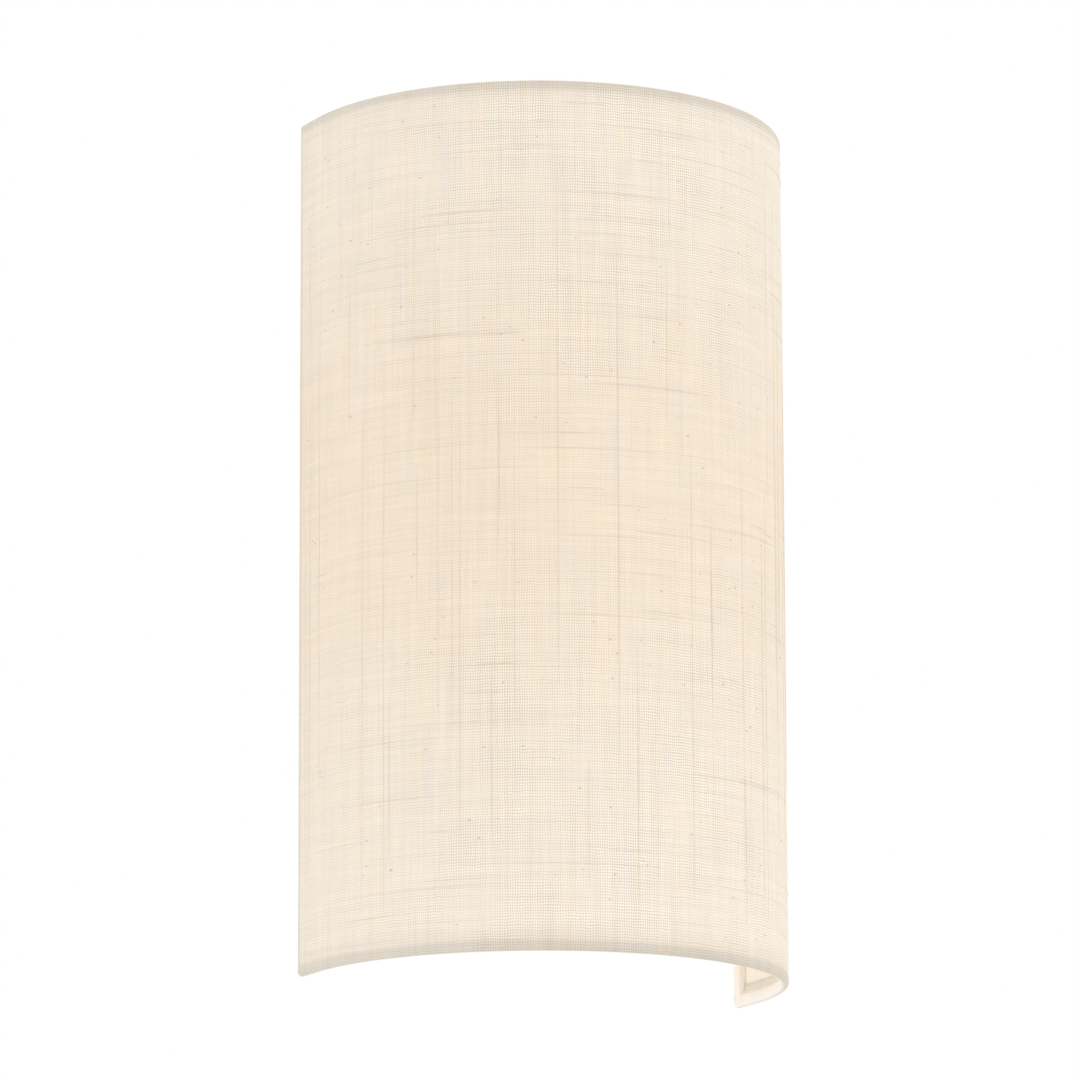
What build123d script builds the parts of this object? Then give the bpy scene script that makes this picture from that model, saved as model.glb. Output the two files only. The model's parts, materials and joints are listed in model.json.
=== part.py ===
from build123d import *
from math import atan2, degrees, sqrt
import os

# Half-round fabric wall light, in millimetres.
# X runs to the right as a person faces the light, -Y comes out from the wall, +Z is up.
# The origin is the centre of the back plate's wall face, so the wall is the plane y = 0.

# ---------------------------------------------------------------- driving dimensions

# Shade: cloth over a stiff liner on a wire frame
shade_width = 172.0  # outside the cloth
shade_height = 300.0  # over both rims
return_depth = 13.0  # straight cloth at each wall edge, before the half round
wall_gap = 0.5  # from the wall to the cloth
cloth = 0.4  # thickness
liner = 0.4  # thickness
wire = 2.4  # diameter of the rings and uprights
rim_hem = 8.0  # cloth turned in, measured from a rim
end_hem = 6.0  # cloth turned in, measured from a wall edge
liner_gap = 0.1  # from the liner's edges to the rolled cloth
weld_sink = 0.3  # how far a wire's end is let into the wire it is welded to

# Crossbars: cranked straps that carry the shade on the back plate
strap_thickness = 1.5
strap_height = 12.0
strap_z = 105.0  # above and below the centre
strap_side_gap = 1.0  # from the plate's side to where a strap starts to slope
strap_crank = 12.0  # length of each sloping step, along X
strap_bend = 3.0  # bend radius at the strap's middle
strap_window = 1.0  # gap in the cloth's hem above and below a strap

# Thumb screws, their captive washers and the standoffs that they screw into
thread_diameter = 4.0
thread_pitch = 0.7
thread_depth = 0.3
thread_clearance = 0.06  # radial
screw_hole_clearance = 0.5  # radial, in the strap
washer_diameter = 8.0
washer_thickness = 0.9
face_gap = 0.1  # between faces that only meet when the screws are tight
standoff_diameter = 8.0
standoff_length = 5.8
standoff_floor = 0.8  # metal left behind the standoff's hole
standoff_chamfer = 0.5
knob_diameter = 12.0
knob_length = 7.0
knob_grooves = 30
knob_groove = 0.56  # side of the square cutter, of which the inner corner cuts
knob_chamfer = 0.6

# Back plate
plate_width = 100.0
plate_end = 10.0  # plate beyond a standoff's axis
plate_thickness = 1.2
plate_corner = 8.0
flange_depth = 6.2  # side flanges, from the wall
flange_end_gap = 4.0  # from a flange's end to the strap above or below it
flange_round = 4.0  # corner radius of a flange's ends
slot_length = 10.0
slot_width = 4.5
slot_spacing_x = 70.0
slot_spacing_z = 150.0
cable_bore = 12.0
cable_wall = 3.0  # rubber between the bore and the plate
cable_lip = 2.0  # how far the grommet's lip laps over the plate, and its thickness
cable_lip_round = 1.2
cable_z = 20.0

# Lamp bracket
lamp_y = 48.0  # from the wall to the lamp's axis
shelf_z = -62.0  # top of the shelf
bracket_thickness = 1.5
bracket_width = 30.0
bracket_overhang = 18.0  # shelf in front of the lamp's axis
bracket_leg = 26.0  # leg screwed to the plate
bracket_skirt = 7.0  # turned down along each side of the shelf
bracket_skirt_round = 4.2  # at each skirt's front end
bracket_nose_round = 1.2  # along the shelf's front edge
bracket_screw_spacing = 19.0
bracket_screw_drop = 14.0  # from the shelf's top to the screws

# Pan-head screws for the bracket and the terminal block
pan_thread = 4.0
pan_head = 7.0
pan_head_height = 2.4
block_screw_thread = 3.0
block_screw_head = 5.0
block_screw_head_height = 1.8
block_screw_seat = 1.0  # housing between the inserts and the screws' heads
block_screw_wall = 1.4  # housing round a screw
block_screw_room = 0.3  # radial, round a head
recess_width = 0.8
recess_depth = 1.2
recess_reach = 0.6  # length of a recess, as a share of its head
head_round = 0.45  # round of a head's edge, as a share of its height
nut_blank = 1.14  # round blank that a nut's corners end in, as a share of its flats
nut_chamfer = 0.4

# Terminal block
pole_pitch = 10.0
pole_width = 8.0
block_length = 18.0  # along the conductors
block_base = 3.6
block_height = 12.8
block_z = -20.0
poles = 3
barrel_round = 2.0  # along a pole's front edges
turret_diameter = 6.0
turret_rise = 1.6
turret_inset = 4.6  # from the block's end to a screw
insert_diameter = 5.0
insert_bore = 3.0
insert_length = 15.0
insert_cover = 0.3  # housing between the block's base and an insert
entry_room = 0.2  # radial, round the lead entries and the clamping screws
terminal_screw = 2.6
terminal_screw_length = 4.6
screw_slot = 0.6

# Earth stud beside the block
earth_inset = 18.0  # from the plate's side to the stud
earth_z = -46.0
earth_stud_length = 9.0
earth_nut_flats = 7.0
earth_nut_height = 3.2
earth_washer_diameter = 9.0
earth_washer_thickness = 0.8
washer_teeth = 12
washer_notch = 0.6  # each way, between two teeth
ring_terminal_diameter = 8.0
ring_terminal_thickness = 0.8
barrel_gap = 1.0  # from the ring to the barrel
barrel_length = 7.0
barrel_wall = 0.5
tongue_width = 2.7
tongue_lap = 1.5  # how far the tongue runs under the barrel
earth_reach = 3.0  # lead beyond the barrel before its bend
earth_drop = 8.0  # straight lead below the block, to its first bend
earth_bend = 4.0

# Leads
lead = 2.4  # diameter over the insulation
lead_side_gap = 0.7  # between a lead and the nipple's bore
lead_room = 1.0  # round the leads in the bush
loop_gap = 2.4  # between the leads' loop and the lower strap's path
loop_fill = 0.98  # bend radius of the loop, as a share of half its width
lead_fan_start = 9.0  # straight run below the block before the leads close up
lead_fan_length = 16.0
lead_bend = 12.0
lead_grip = 5.0  # let into a terminal
bush_wall = 1.0
bush_lip = 1.0

# Lampholder
holder_diameter = 28.0
holder_wall = 1.8
holder_cap_height = 18.0
holder_cap_floor = 5.0
holder_base_diameter = 21.0
holder_gap = 1.7  # between the holder's mouth and the lamp's housing
mouth_clearance = 1.1  # radial, round the lamp's collar
holder_rim = 1.2
holder_fit = 0.2  # radial, between the cup and what sits in it
nipple_diameter = 9.8
nipple_bore = 8.0
nipple_tail = 2.0  # below the locknut
nipple_grip = 6.5  # above the shelf's top
nipple_pitch = 1.0
nipple_thread = 0.3
nipple_clearance = 0.1
locknut_flats = 14.0
locknut_height = 3.5
insulator_height = 6.0
insulator_drop = 1.0  # from the cup's rim down to the insulator's top
insulator_step = 1.5
lead_socket = 2.0  # depth of the lead sockets in the insulator
lead_end = 1.0  # how far a lead goes into its socket
shell_wall = 0.5
shell_clearance = 0.15  # radial, round the lamp's cap
shell_height = 20.0
shell_foot = 3.0  # plain part of the shell below its thread
shell_fit = 0.1  # radial, between the shell and the skirt
shell_top_gap = 0.5
contact_width = 4.0
contact_thickness = 0.5
contact_foot = 6.0
contact_gap = 0.4  # under the lamp's tip
contact_drop = 1.3  # from the tongue's crest to its free end

# Lamp
lamp_bottom = 5.0  # from the holder's insulator to the lamp's tip
cap_thread = 13.9  # over the screw thread of the cap
cap_pitch = 2.82
cap_turns = 6
cap_depth = 0.55
cap_tip = 4.8
cap_tip_flat = 3.4  # flat end of the tip
cap_tip_height = 1.2
cap_glass_step = 0.3  # radial, between the glass and the metal at both its ends
cap_glass_height = 3.0
cap_wall = 0.4
cap_collar_height = 2.6
cap_collar = 17.0
globe_diameter = 45.0
globe_wall = 1.2
housing_height = 12.0
housing_top = 34.0
housing_wall = 1.6
housing_rim = 1.0  # straight part under the globe
waist_height = 6.6  # from the housing's foot to where its taper steepens
waist_diameter = 30.6
board_diameter = 27.0
board_thickness = 1.2
chip_count = 8
chip_circle = 18.0
chip_size = 2.8
chip_height = 0.8

# ---------------------------------------------------------------- derived places

half_width = shade_width / 2
half_height = shade_height / 2
wire_radius = wire / 2
rim_radius = wire_radius + cloth
ring_z = half_height - rim_radius
wire_x = half_width - rim_radius
edge_y = -wall_gap
corner_y = edge_y - rim_radius
arc_y = edge_y - return_depth
liner_face = cloth + liner  # from the cloth's outer face to the liner's inner face
hem_root = wire_radius + cloth / 4  # from a wire's axis to where its hem leaves the roll

plate_height = 2 * (strap_z + plate_end)
flange_length = 2 * (strap_z - strap_height / 2 - flange_end_gap)
plate_face = -plate_thickness
standoff_face = plate_face - standoff_length
strap_seat = standoff_face - face_gap - washer_thickness
strap_front = strap_seat - strap_thickness
strap_weld = corner_y - wire_radius + weld_sink
thread_radius = thread_diameter / 2

lamp_axis = Location((0, -lamp_y, 0))
shelf_under = shelf_z - bracket_thickness
insert_y = plate_face - block_base - insert_cover - insert_diameter / 2
block_bottom = block_z - block_length / 2
earth_x = plate_width / 2 - earth_inset
screw_offset = block_length / 2 - turret_inset  # of the clamping screws from the block's middle
lead_spacing = nipple_bore - lead - 2 * lead_side_gap
lead_loop_z = lead / 2 + loop_gap + strap_height / 2 - strap_z
cap_top_z = shelf_z + holder_cap_height
insulator_top = cap_top_z - insulator_drop
cup_radius = holder_diameter / 2 - holder_wall
nipple_top = shelf_z + nipple_grip
tip_z = insulator_top + lamp_bottom
glass_z = tip_z + cap_tip_height
cap_z = glass_z + cap_glass_height
collar_z = cap_z + cap_turns * cap_pitch
housing_z = collar_z + cap_collar_height
holder_top = housing_z - holder_gap
globe_z = housing_z + housing_height
globe_centre = globe_z + sqrt((globe_diameter / 2) ** 2 - (housing_top / 2) ** 2)


# ---------------------------------------------------------------- shared shapes

def ring_inset(inset):
    """Height of the rolled cloth's surface off its wire's axis, at an inset from the cloth's face."""
    return sqrt(rim_radius**2 - (rim_radius - inset) ** 2)


def d_face(inset, back):
    """D-shaped plan, an inset inside the cloth's outer face, closed at y = back."""
    side = half_width - inset
    outline = [
        ThreePointArc((-side, arc_y), (0, arc_y - side), (side, arc_y)),
        Line((side, arc_y), (side, back)),
        Line((side, back), (-side, back)),
        Line((-side, back), (-side, arc_y)),
    ]
    return make_face(outline)


def d_wall(outer, inner, low, high, back):
    """Upright wall on the D plan between two insets, open towards the wall of the room."""
    section = d_face(outer, back) - d_face(inner, 0)
    return extrude(Pos(0, 0, low) * section, high - low, dir=(0, 0, 1))


def along_rims(section):
    """Carries a radial section round the half circle and along both straight returns."""
    placed = Plane(origin=(0, arc_y, 0), x_dir=(1, 0, 0), z_dir=(0, -1, 0)) * section
    bend = revolve(placed, axis=Axis((0, arc_y, 0), (0, 0, -1)), revolution_arc=180)
    side = extrude(placed, corner_y - arc_y, dir=(0, 1, 0))
    return bend + side + mirror(side, about=Plane.YZ)


def turned(points):
    """Solid of revolution on the Z axis from (radius, height) points."""
    return revolve(Plane.XZ * make_face(Polyline(*points, close=True)), axis=Axis.Z)


def ribbed(radius, depth, low, pitch, turns):
    """(radius, height) points of a rolled thread's profile, drawn as plain rings."""
    points = []
    for turn in range(turns):
        base = low + turn * pitch
        points.append((radius - depth, base))
        points.append((radius, base + pitch / 2))
    points.append((radius - depth, low + turns * pitch))
    return points


def facing_out(y):
    """Plane parallel to the wall at a height y off it, with its normal out from the wall."""
    return Plane(origin=(0, y, 0), x_dir=(1, 0, 0), z_dir=(0, -1, 0))


def rod_y(radius, back, front):
    """Round bar on the Y axis, from y = back forward to y = front."""
    return extrude(facing_out(back) * Circle(radius), back - front)


def cross_recess(front, reach):
    """Cross-shaped driver recess let into a head whose face is at y = front."""
    slot = Box(reach, 2 * recess_depth, recess_width)
    return Pos(0, front, 0) * (slot + Rot(0, 90, 0) * slot)


def pan_screw(seat, thread, head, head_height, tail):
    """Pan-head screw on the Y axis, its head seated at y = seat and its end at y = tail."""
    front = seat - head_height
    body = rod_y(head / 2, seat, front)
    body = fillet(body.edges().sort_by(Axis.Y)[0], head_height * head_round)
    body += rod_y(thread / 2, tail, seat)
    return body - cross_recess(front, head * recess_reach)


def hex_nut(flats, height, bore):
    """Hexagon nut standing on the XY plane, with its corners rounded off."""
    nut = extrude(RegularPolygon(flats / 2, 6, major_radius=False), height)
    blank = Pos(0, 0, height / 2) * Cylinder(flats * nut_blank / 2, height)
    blank = chamfer(blank.edges().filter_by(GeomType.CIRCLE), nut_chamfer)
    return (nut & blank) - Cylinder(bore / 2, 4 * height)


def swept(points, radii):
    """Insulated lead along straight runs joined by tangent arcs."""
    path = FilletPolyline(*points, radius=radii)
    return sweep(Plane(origin=path @ 0, z_dir=path % 0) * Circle(lead / 2), path=path)


# ---------------------------------------------------------------- shade

def cloth_section():
    """Radial section of the outer cloth: its face and the roll over each ring."""
    inner_x = half_width - cloth
    join = ring_z - ring_inset(cloth)
    outline = [
        Line((half_width, -ring_z), (half_width, ring_z)),
        Line((inner_x, -join), (inner_x, join)),
    ]
    for up in (1, -1):
        start = (half_width, up * ring_z)
        middle = (wire_x - rim_radius, up * ring_z)
        outline.append(ThreePointArc(start, middle, (inner_x, up * join)))
    section = make_face(outline)
    for up in (1, -1):
        section -= Pos(wire_x, up * ring_z) * Circle(wire_radius)
    return section


def wall_edge():
    """Right wall edge of the cloth: rolled round the upright and turned in along the liner."""
    roll = Pos(wire_x, corner_y) * (Circle(rim_radius) - Circle(wire_radius))
    reach = 2 * rim_radius
    back = roll & (Pos(wire_x, corner_y + reach / 2) * Rectangle(2 * reach, reach))
    inner_face = half_width - liner_face
    front_centre = (inner_face - reach, corner_y - reach / 2)
    front = roll & (Pos(*front_centre) * Rectangle(2 * reach, reach))
    leg_end = edge_y - end_hem
    leg_root = corner_y - hem_root
    leg_centre = (inner_face - cloth / 2, (leg_end + leg_root) / 2)
    front += Pos(*leg_centre) * Rectangle(cloth, leg_root - leg_end)
    front_top = ring_z - wire_radius - cloth / 2
    edge = extrude(Pos(0, 0, -ring_z) * back, 2 * ring_z, dir=(0, 0, 1))
    edge += extrude(Pos(0, 0, -front_top) * front, 2 * front_top, dir=(0, 0, 1))
    window_back = corner_y + cloth / 2
    window_depth = window_back - leg_end
    window_width = 2 * reach
    window_x = inner_face - cloth - window_width / 2
    for up in (1, -1):
        window = Box(window_width, window_depth, strap_height + 2 * strap_window)
        edge -= Pos(window_x, window_back - window_depth / 2, up * strap_z) * window
    return edge


def corner_cap():
    """Cloth over the upper right corner of the frame, where ring and upright meet."""
    from_corner = (Align.CENTER, Align.MIN, Align.MIN)
    outside = Sphere(rim_radius, arc_size1=0, arc_size2=90, arc_size3=180, align=from_corner)
    inside = Sphere(wire_radius, arc_size1=0, arc_size2=90, arc_size3=180, align=from_corner)
    return Pos(wire_x, corner_y, ring_z) * (outside - inside)


def shade_fabric():
    """Outer cloth with both rims and both wall edges rolled over the frame and turned in."""
    body = along_rims(cloth_section())
    notch = Box(wire, wire_radius, rim_radius)
    for side in (1, -1):
        for up in (1, -1):
            place = (side * wire_x, corner_y - wire_radius / 2, up * (ring_z - rim_radius))
            body -= Pos(*place) * notch
    edge = wall_edge()
    cap = corner_cap()
    edge += cap
    edge += mirror(cap, about=Plane.XY)
    hem_back = edge_y - end_hem / 2
    hem_top = ring_z - hem_root
    hem_low = half_height - rim_hem
    hem = d_wall(liner_face, liner_face + cloth, hem_low, hem_top, hem_back)
    body += hem
    body += mirror(hem, about=Plane.XY)
    body += edge
    body += mirror(edge, about=Plane.YZ)
    return body


def shade_liner():
    """Stiff translucent sheet laminated behind the cloth."""
    top = ring_z - ring_inset(liner_face) - liner_gap
    back = corner_y - ring_inset(liner_face) - liner_gap
    return d_wall(cloth, liner_face, -top, top, back)


def frame_ring(height):
    """Wire ring of the frame: half circle and two returns, open at the wall."""
    ring = along_rims(Pos(wire_x, height) * Circle(wire_radius))
    for side in (1, -1):
        end = Sphere(wire_radius, arc_size3=180, align=(Align.CENTER, Align.MIN, Align.CENTER))
        ring += Pos(side * wire_x, corner_y, height) * end
    return ring


def frame_upright(side, rings):
    """Upright wire of the frame, let into both rings at its welds."""
    length = 2 * (ring_z - wire_radius + weld_sink)
    upright = Pos(side * wire_x, corner_y, 0) * Cylinder(wire_radius, length)
    for ring in rings:
        upright -= ring
    return upright


def crossbar(height, uprights):
    """Cranked strap welded across the two uprights, with its thumb screw's hole."""
    flat_end = plate_width / 2 + strap_side_gap
    crank_end = flat_end + strap_crank
    weld_middle = strap_weld - strap_thickness / 2
    seat_middle = strap_seat - strap_thickness / 2
    right_half = [
        (flat_end, seat_middle, height),
        (crank_end, weld_middle, height),
        (wire_x, weld_middle, height),
    ]
    left_half = [(-x, y, z) for x, y, z in reversed(right_half)]
    path = FilletPolyline(*left_half, *right_half, radius=strap_bend)
    start = Plane(origin=path @ 0, x_dir=(0, 0, 1), z_dir=(1, 0, 0))
    strap = sweep(start * Rectangle(strap_height, strap_thickness), path=path)
    hole_radius = thread_radius + screw_hole_clearance
    strap -= Pos(0, 0, height) * rod_y(hole_radius, strap_seat, strap_front)
    for upright in uprights:
        strap -= upright
    return strap


def retaining_washers():
    """Push-on washers that keep the thumb screws on their crossbars."""
    outside = rod_y(washer_diameter / 2, strap_seat + washer_thickness, strap_seat)
    bore = rod_y(thread_radius + thread_clearance, strap_seat + washer_thickness, strap_seat)
    washer = outside - bore
    return Compound(children=[Pos(0, 0, up * strap_z) * washer for up in (1, -1)])


def thumb_screw(height):
    """Knurled-head screw along Y, with ring grooves for its thread."""
    seat = strap_front - face_gap
    front = seat - knob_length
    tail = plate_face - standoff_floor - face_gap
    knob = rod_y(knob_diameter / 2, seat, front)
    knob = chamfer(knob.edges().filter_by(GeomType.CIRCLE), knob_chamfer)
    groove = Rot(0, 45, 0) * Box(knob_groove, 2 * knob_length, knob_groove)
    for turn in range(knob_grooves):
        angle = 360 / knob_grooves * turn
        knob -= Rot(0, angle, 0) * Pos(knob_diameter / 2, (seat + front) / 2, 0) * groove
    thread_start = strap_front + strap_thickness / 2
    turns = int((tail - thread_start) / thread_pitch)
    thread_end = thread_start + turns * thread_pitch
    profile = [(0, -seat), (0, -tail), (thread_radius - thread_depth, -tail)]
    profile += ribbed(thread_radius, thread_depth, -thread_end, thread_pitch, turns)
    profile += [(thread_radius, thread_depth - thread_start), (thread_radius, -seat)]
    shank = Rot(90, 0, 0) * turned(profile)
    return Pos(0, 0, height) * (knob + shank)


# ---------------------------------------------------------------- back plate

def back_plate():
    """Pressed plate with side flanges, wall-screw slots and the cable hole."""
    sheet = RectangleRounded(plate_width, plate_height, plate_corner)
    for x in (-slot_spacing_x / 2, slot_spacing_x / 2):
        for z in (-slot_spacing_z / 2, slot_spacing_z / 2):
            sheet -= Pos(x, z) * SlotOverall(slot_length, slot_width)
    sheet -= Pos(0, cable_z) * Circle(cable_bore / 2 + cable_wall)
    for side in (-0.5, 0.5):
        sheet -= Pos(side * pole_pitch, block_z) * Circle(block_screw_thread / 2)
    sheet -= Pos(earth_x, earth_z) * Circle(pan_thread / 2)
    for side in (-0.5, 0.5):
        sheet -= Pos(side * bracket_screw_spacing, shelf_z - bracket_screw_drop) * Circle(pan_thread / 2)
    plate = extrude(facing_out(0) * sheet, plate_thickness)
    for side in (-1, 1):
        place = (side * (plate_width - plate_thickness) / 2, -flange_depth / 2, 0)
        flange = Pos(*place) * Box(plate_thickness, flange_depth, flange_length)
        ends = flange.edges().filter_by(Axis.X).group_by(Axis.Y)[0]
        plate += fillet(ends, flange_round)
    return plate


def plate_standoffs():
    """Tapped standoffs clinched to the plate behind the thumb screws."""
    outside = rod_y(standoff_diameter / 2, plate_face, standoff_face)
    outside = chamfer(outside.edges().sort_by(Axis.Y)[0], standoff_chamfer)
    bore = rod_y(thread_radius + thread_clearance, plate_face - standoff_floor, standoff_face)
    standoff = outside - bore
    return Compound(children=[Pos(0, 0, up * strap_z) * standoff for up in (1, -1)])


def cable_grommet():
    """Rubber grommet: a sleeve in the plate's hole and a lip on its face."""
    hole = cable_bore / 2 + cable_wall
    lip_face = plate_face - cable_lip
    lip = rod_y(hole + cable_lip, plate_face, lip_face)
    lip = fillet(lip.edges().sort_by(Axis.Y)[0], cable_lip_round)
    body = lip + rod_y(hole, 0, plate_face)
    body -= rod_y(cable_bore / 2, 0, lip_face)
    return Pos(0, 0, cable_z) * body


# ---------------------------------------------------------------- lamp bracket

def lamp_bracket():
    """Pressed bracket: leg on the plate, shelf with skirts, holes for nipple and leads."""
    front = -lamp_y - bracket_overhang
    depth = plate_face - front
    shelf = Pos(0, -(depth / 2) + plate_face, shelf_z - bracket_thickness / 2)
    body = shelf * Box(bracket_width, depth, bracket_thickness)
    leg = Box(bracket_width, bracket_thickness, bracket_leg)
    body += Pos(0, plate_face - bracket_thickness / 2, shelf_z - bracket_leg / 2) * leg
    skirt_box = Box(bracket_thickness, depth, bracket_skirt)
    for side in (-1, 1):
        x = side * (bracket_width - bracket_thickness) / 2
        skirt = Pos(x, plate_face - depth / 2, shelf_z - bracket_skirt / 2) * skirt_box
        nose = skirt.edges().filter_by(Axis.X).group_by(Axis.Y)[0].sort_by(Axis.Z)[0]
        body += fillet(nose, bracket_skirt_round)
    corners = body.edges().filter_by(Axis.X).group_by(Axis.Z)[-1].sort_by(Axis.Y)[-1]
    body = fillet(corners, bracket_nose_round)
    nipple_hole = Cylinder(nipple_diameter / 2 + nipple_clearance, 4 * bracket_thickness)
    body -= Pos(0, -lamp_y, shelf_z) * nipple_hole
    bush_hole = extrude(bush_outline(bush_wall), 4 * bracket_thickness, both=True)
    body -= Pos(0, insert_y, shelf_z) * bush_hole
    for side in (-0.5, 0.5):
        place = (side * bracket_screw_spacing, 0, shelf_z - bracket_screw_drop)
        body -= Pos(*place) * rod_y(pan_thread / 2, 0, plate_face - 2 * bracket_thickness)
    return body


def bracket_screws():
    """Two pan-head screws that hold the bracket to the plate."""
    seat = plate_face - bracket_thickness
    screw = pan_screw(seat, pan_thread, pan_head, pan_head_height, 0)
    z = shelf_z - bracket_screw_drop
    sides = (-bracket_screw_spacing / 2, bracket_screw_spacing / 2)
    return Compound(children=[Pos(x, 0, z) * screw for x in sides])


def bush_outline(growth):
    """Rounded outline of the lead bush's bore, grown outwards."""
    depth = lead + 2 * (lead_room + growth)
    return SlotCenterToCenter(lead_spacing, depth)


def lead_bush():
    """Plastic bush that keeps the leads off the shelf's edge."""
    height = bracket_thickness + 2 * bush_lip
    sleeve = extrude(Pos(0, 0, -height / 2) * bush_outline(bush_wall), height)
    lip = extrude(Pos(0, 0, bracket_thickness / 2) * bush_outline(bush_wall + bush_lip), bush_lip)
    lower = extrude(Pos(0, 0, -height / 2) * bush_outline(bush_wall + bush_lip), bush_lip)
    bore = extrude(bush_outline(0), height, both=True)
    middle = shelf_z - bracket_thickness / 2
    return Pos(0, insert_y, middle) * (sleeve + lip + lower - bore)


# ---------------------------------------------------------------- terminal block and earth

def pole_x(pole):
    """Place of a pole of the block: 0 is live, 1 neutral, 2 earth."""
    return (pole - 1) * pole_pitch


def block_seat():
    """Y place of the faces that the block's screws press on, in front of the inserts."""
    return insert_y - insert_diameter / 2 - block_screw_seat


def terminal_block():
    """Three-pole housing with a turret over each clamping screw."""
    width = poles * pole_pitch
    base_place = Pos(0, plate_face - block_base / 2, block_z)
    body = base_place * Box(width, block_base, block_length)
    pole_place = plate_face - block_height / 2
    for pole in range(poles):
        barrel = Pos(pole_x(pole), pole_place, block_z) * Box(pole_width, block_height, block_length)
        front = barrel.edges().filter_by(Axis.Z).group_by(Axis.Y)[0]
        body += fillet(front, barrel_round)
    turret_face = plate_face - block_height - turret_rise
    for side in (-0.5, 0.5):
        post = rod_y(block_screw_thread / 2 + block_screw_wall, plate_face, block_seat())
        body += Pos(side * pole_pitch, 0, block_z) * post
    for pole in range(poles):
        x = pole_x(pole)
        for up in (1, -1):
            z = block_z + up * screw_offset
            body += Pos(x, 0, z) * rod_y(turret_diameter / 2, plate_face - block_base, turret_face)
        body -= Pos(x, insert_y, block_z) * Cylinder(insert_diameter / 2, insert_length)
        body -= Pos(x, insert_y, block_z) * Cylinder(insert_bore / 2 + entry_room, 2 * block_length)
        for up in (1, -1):
            z = block_z + up * screw_offset
            body -= Pos(x, 0, z) * rod_y(terminal_screw / 2 + entry_room, insert_y, turret_face)
    shank = rod_y(block_screw_thread / 2, plate_face, block_seat())
    head = rod_y(block_screw_head / 2 + block_screw_room, block_seat(), turret_face)
    for side in (-0.5, 0.5):
        body -= Pos(side * pole_pitch, 0, block_z) * (shank + head)
    return body


def block_screws():
    """Two pan-head screws between the poles that hold the block to the plate."""
    screw = pan_screw(block_seat(), block_screw_thread, block_screw_head, block_screw_head_height, 0)
    sides = (-pole_pitch / 2, pole_pitch / 2)
    return Compound(children=[Pos(x, 0, block_z) * screw for x in sides])


def terminal_inserts():
    """Brass tubes inside the block, cross-drilled for the clamping screws."""
    tube = Cylinder(insert_diameter / 2, insert_length) - Cylinder(insert_bore / 2, insert_length)
    for up in (1, -1):
        z = up * screw_offset
        tube -= Pos(0, 0, z) * rod_y(terminal_screw / 2, 0, -insert_diameter)
    return Compound(children=[Pos(pole_x(pole), insert_y, block_z) * tube for pole in range(poles)])


def terminal_screws():
    """Six slotted grub screws, two to a pole."""
    tip = insert_y - lead / 2
    front = tip - terminal_screw_length
    screw = rod_y(terminal_screw / 2, tip, front)
    screw -= Pos(0, front, 0) * Box(2 * terminal_screw, recess_depth, screw_slot)
    screws = []
    for pole in range(poles):
        for up in (1, -1):
            z = block_z + up * screw_offset
            screws.append(Pos(pole_x(pole), 0, z) * screw)
    return Compound(children=screws)


def earth_stack(thickness, start):
    """Y places of the back and front of one piece on the earth stud."""
    back = plate_face - start
    return back, back - thickness


def earth_washers():
    """Two lock washers: one under the ring terminal, one under the nut."""
    washers = []
    for start in (0, earth_washer_thickness + ring_terminal_thickness):
        back, front = earth_stack(earth_washer_thickness, start)
        washer = rod_y(earth_washer_diameter / 2, back, front)
        washer -= rod_y(pan_thread / 2, back, front)
        notch = Box(2 * washer_notch, 2 * earth_washer_thickness, washer_notch)
        notch = Pos(earth_washer_diameter / 2, (back + front) / 2, 0) * notch
        for turn in range(washer_teeth):
            washer -= Rot(0, 360 / washer_teeth * turn, 0) * notch
        washers.append(Pos(earth_x, 0, earth_z) * washer)
    return Compound(children=washers)


def earth_nut():
    """Hexagon nut on the earth stud."""
    start = 2 * earth_washer_thickness + ring_terminal_thickness
    back = earth_stack(earth_nut_height, start)[0]
    nut = hex_nut(earth_nut_flats, earth_nut_height, pan_thread)
    return Pos(earth_x, back, earth_z) * Rot(90, 0, 0) * nut


def earth_stud():
    """Threaded stud pressed into the plate."""
    stud = rod_y(pan_thread / 2, 0, plate_face - earth_stud_length)
    stud = chamfer(stud.edges().sort_by(Axis.Y)[0], nut_chamfer)
    return Pos(earth_x, 0, earth_z) * stud


def barrel_direction():
    """Unit vector from the stud towards the earth lead's first bend, along the wall."""
    across = pole_x(2) - earth_x
    up = block_bottom - earth_drop - earth_z
    return Vector(across, 0, up).normalized()


def barrel_axis_y():
    """Y place of the crimp barrel's axis, in front of the ring's tongue."""
    back = earth_stack(ring_terminal_thickness, earth_washer_thickness)[0]
    return back - lead / 2 - barrel_wall


def barrel_start():
    """Point on the barrel's axis at the end beside the ring."""
    reach = ring_terminal_diameter / 2 + barrel_gap
    way = barrel_direction()
    return Vector(earth_x, barrel_axis_y(), earth_z) + way * reach


def earth_terminal():
    """Ring terminal with a crimped barrel."""
    back, front = earth_stack(ring_terminal_thickness, earth_washer_thickness)
    way = barrel_direction()
    start = barrel_start()
    ring = Pos(earth_x, 0, earth_z) * rod_y(ring_terminal_diameter / 2, back, front)
    outer = lead / 2 + barrel_wall
    end_plane = Plane(origin=start, x_dir=(0, 1, 0), z_dir=way)
    barrel = extrude(end_plane * Circle(outer), barrel_length)
    tongue_length = ring_terminal_diameter / 2 + barrel_gap + tongue_lap
    tongue = Box(tongue_length, ring_terminal_thickness, tongue_width)
    middle = Vector(earth_x, (back + front) / 2, earth_z) + way * (tongue_length / 2)
    tongue = Pos(*middle) * Rot(0, -degrees(atan2(way.Z, way.X)), 0) * tongue
    body = ring + tongue + barrel
    body -= extrude(end_plane * Circle(lead / 2), barrel_length)
    return body - Pos(earth_x, 0, earth_z) * rod_y(pan_thread / 2, 0, front)


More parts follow.
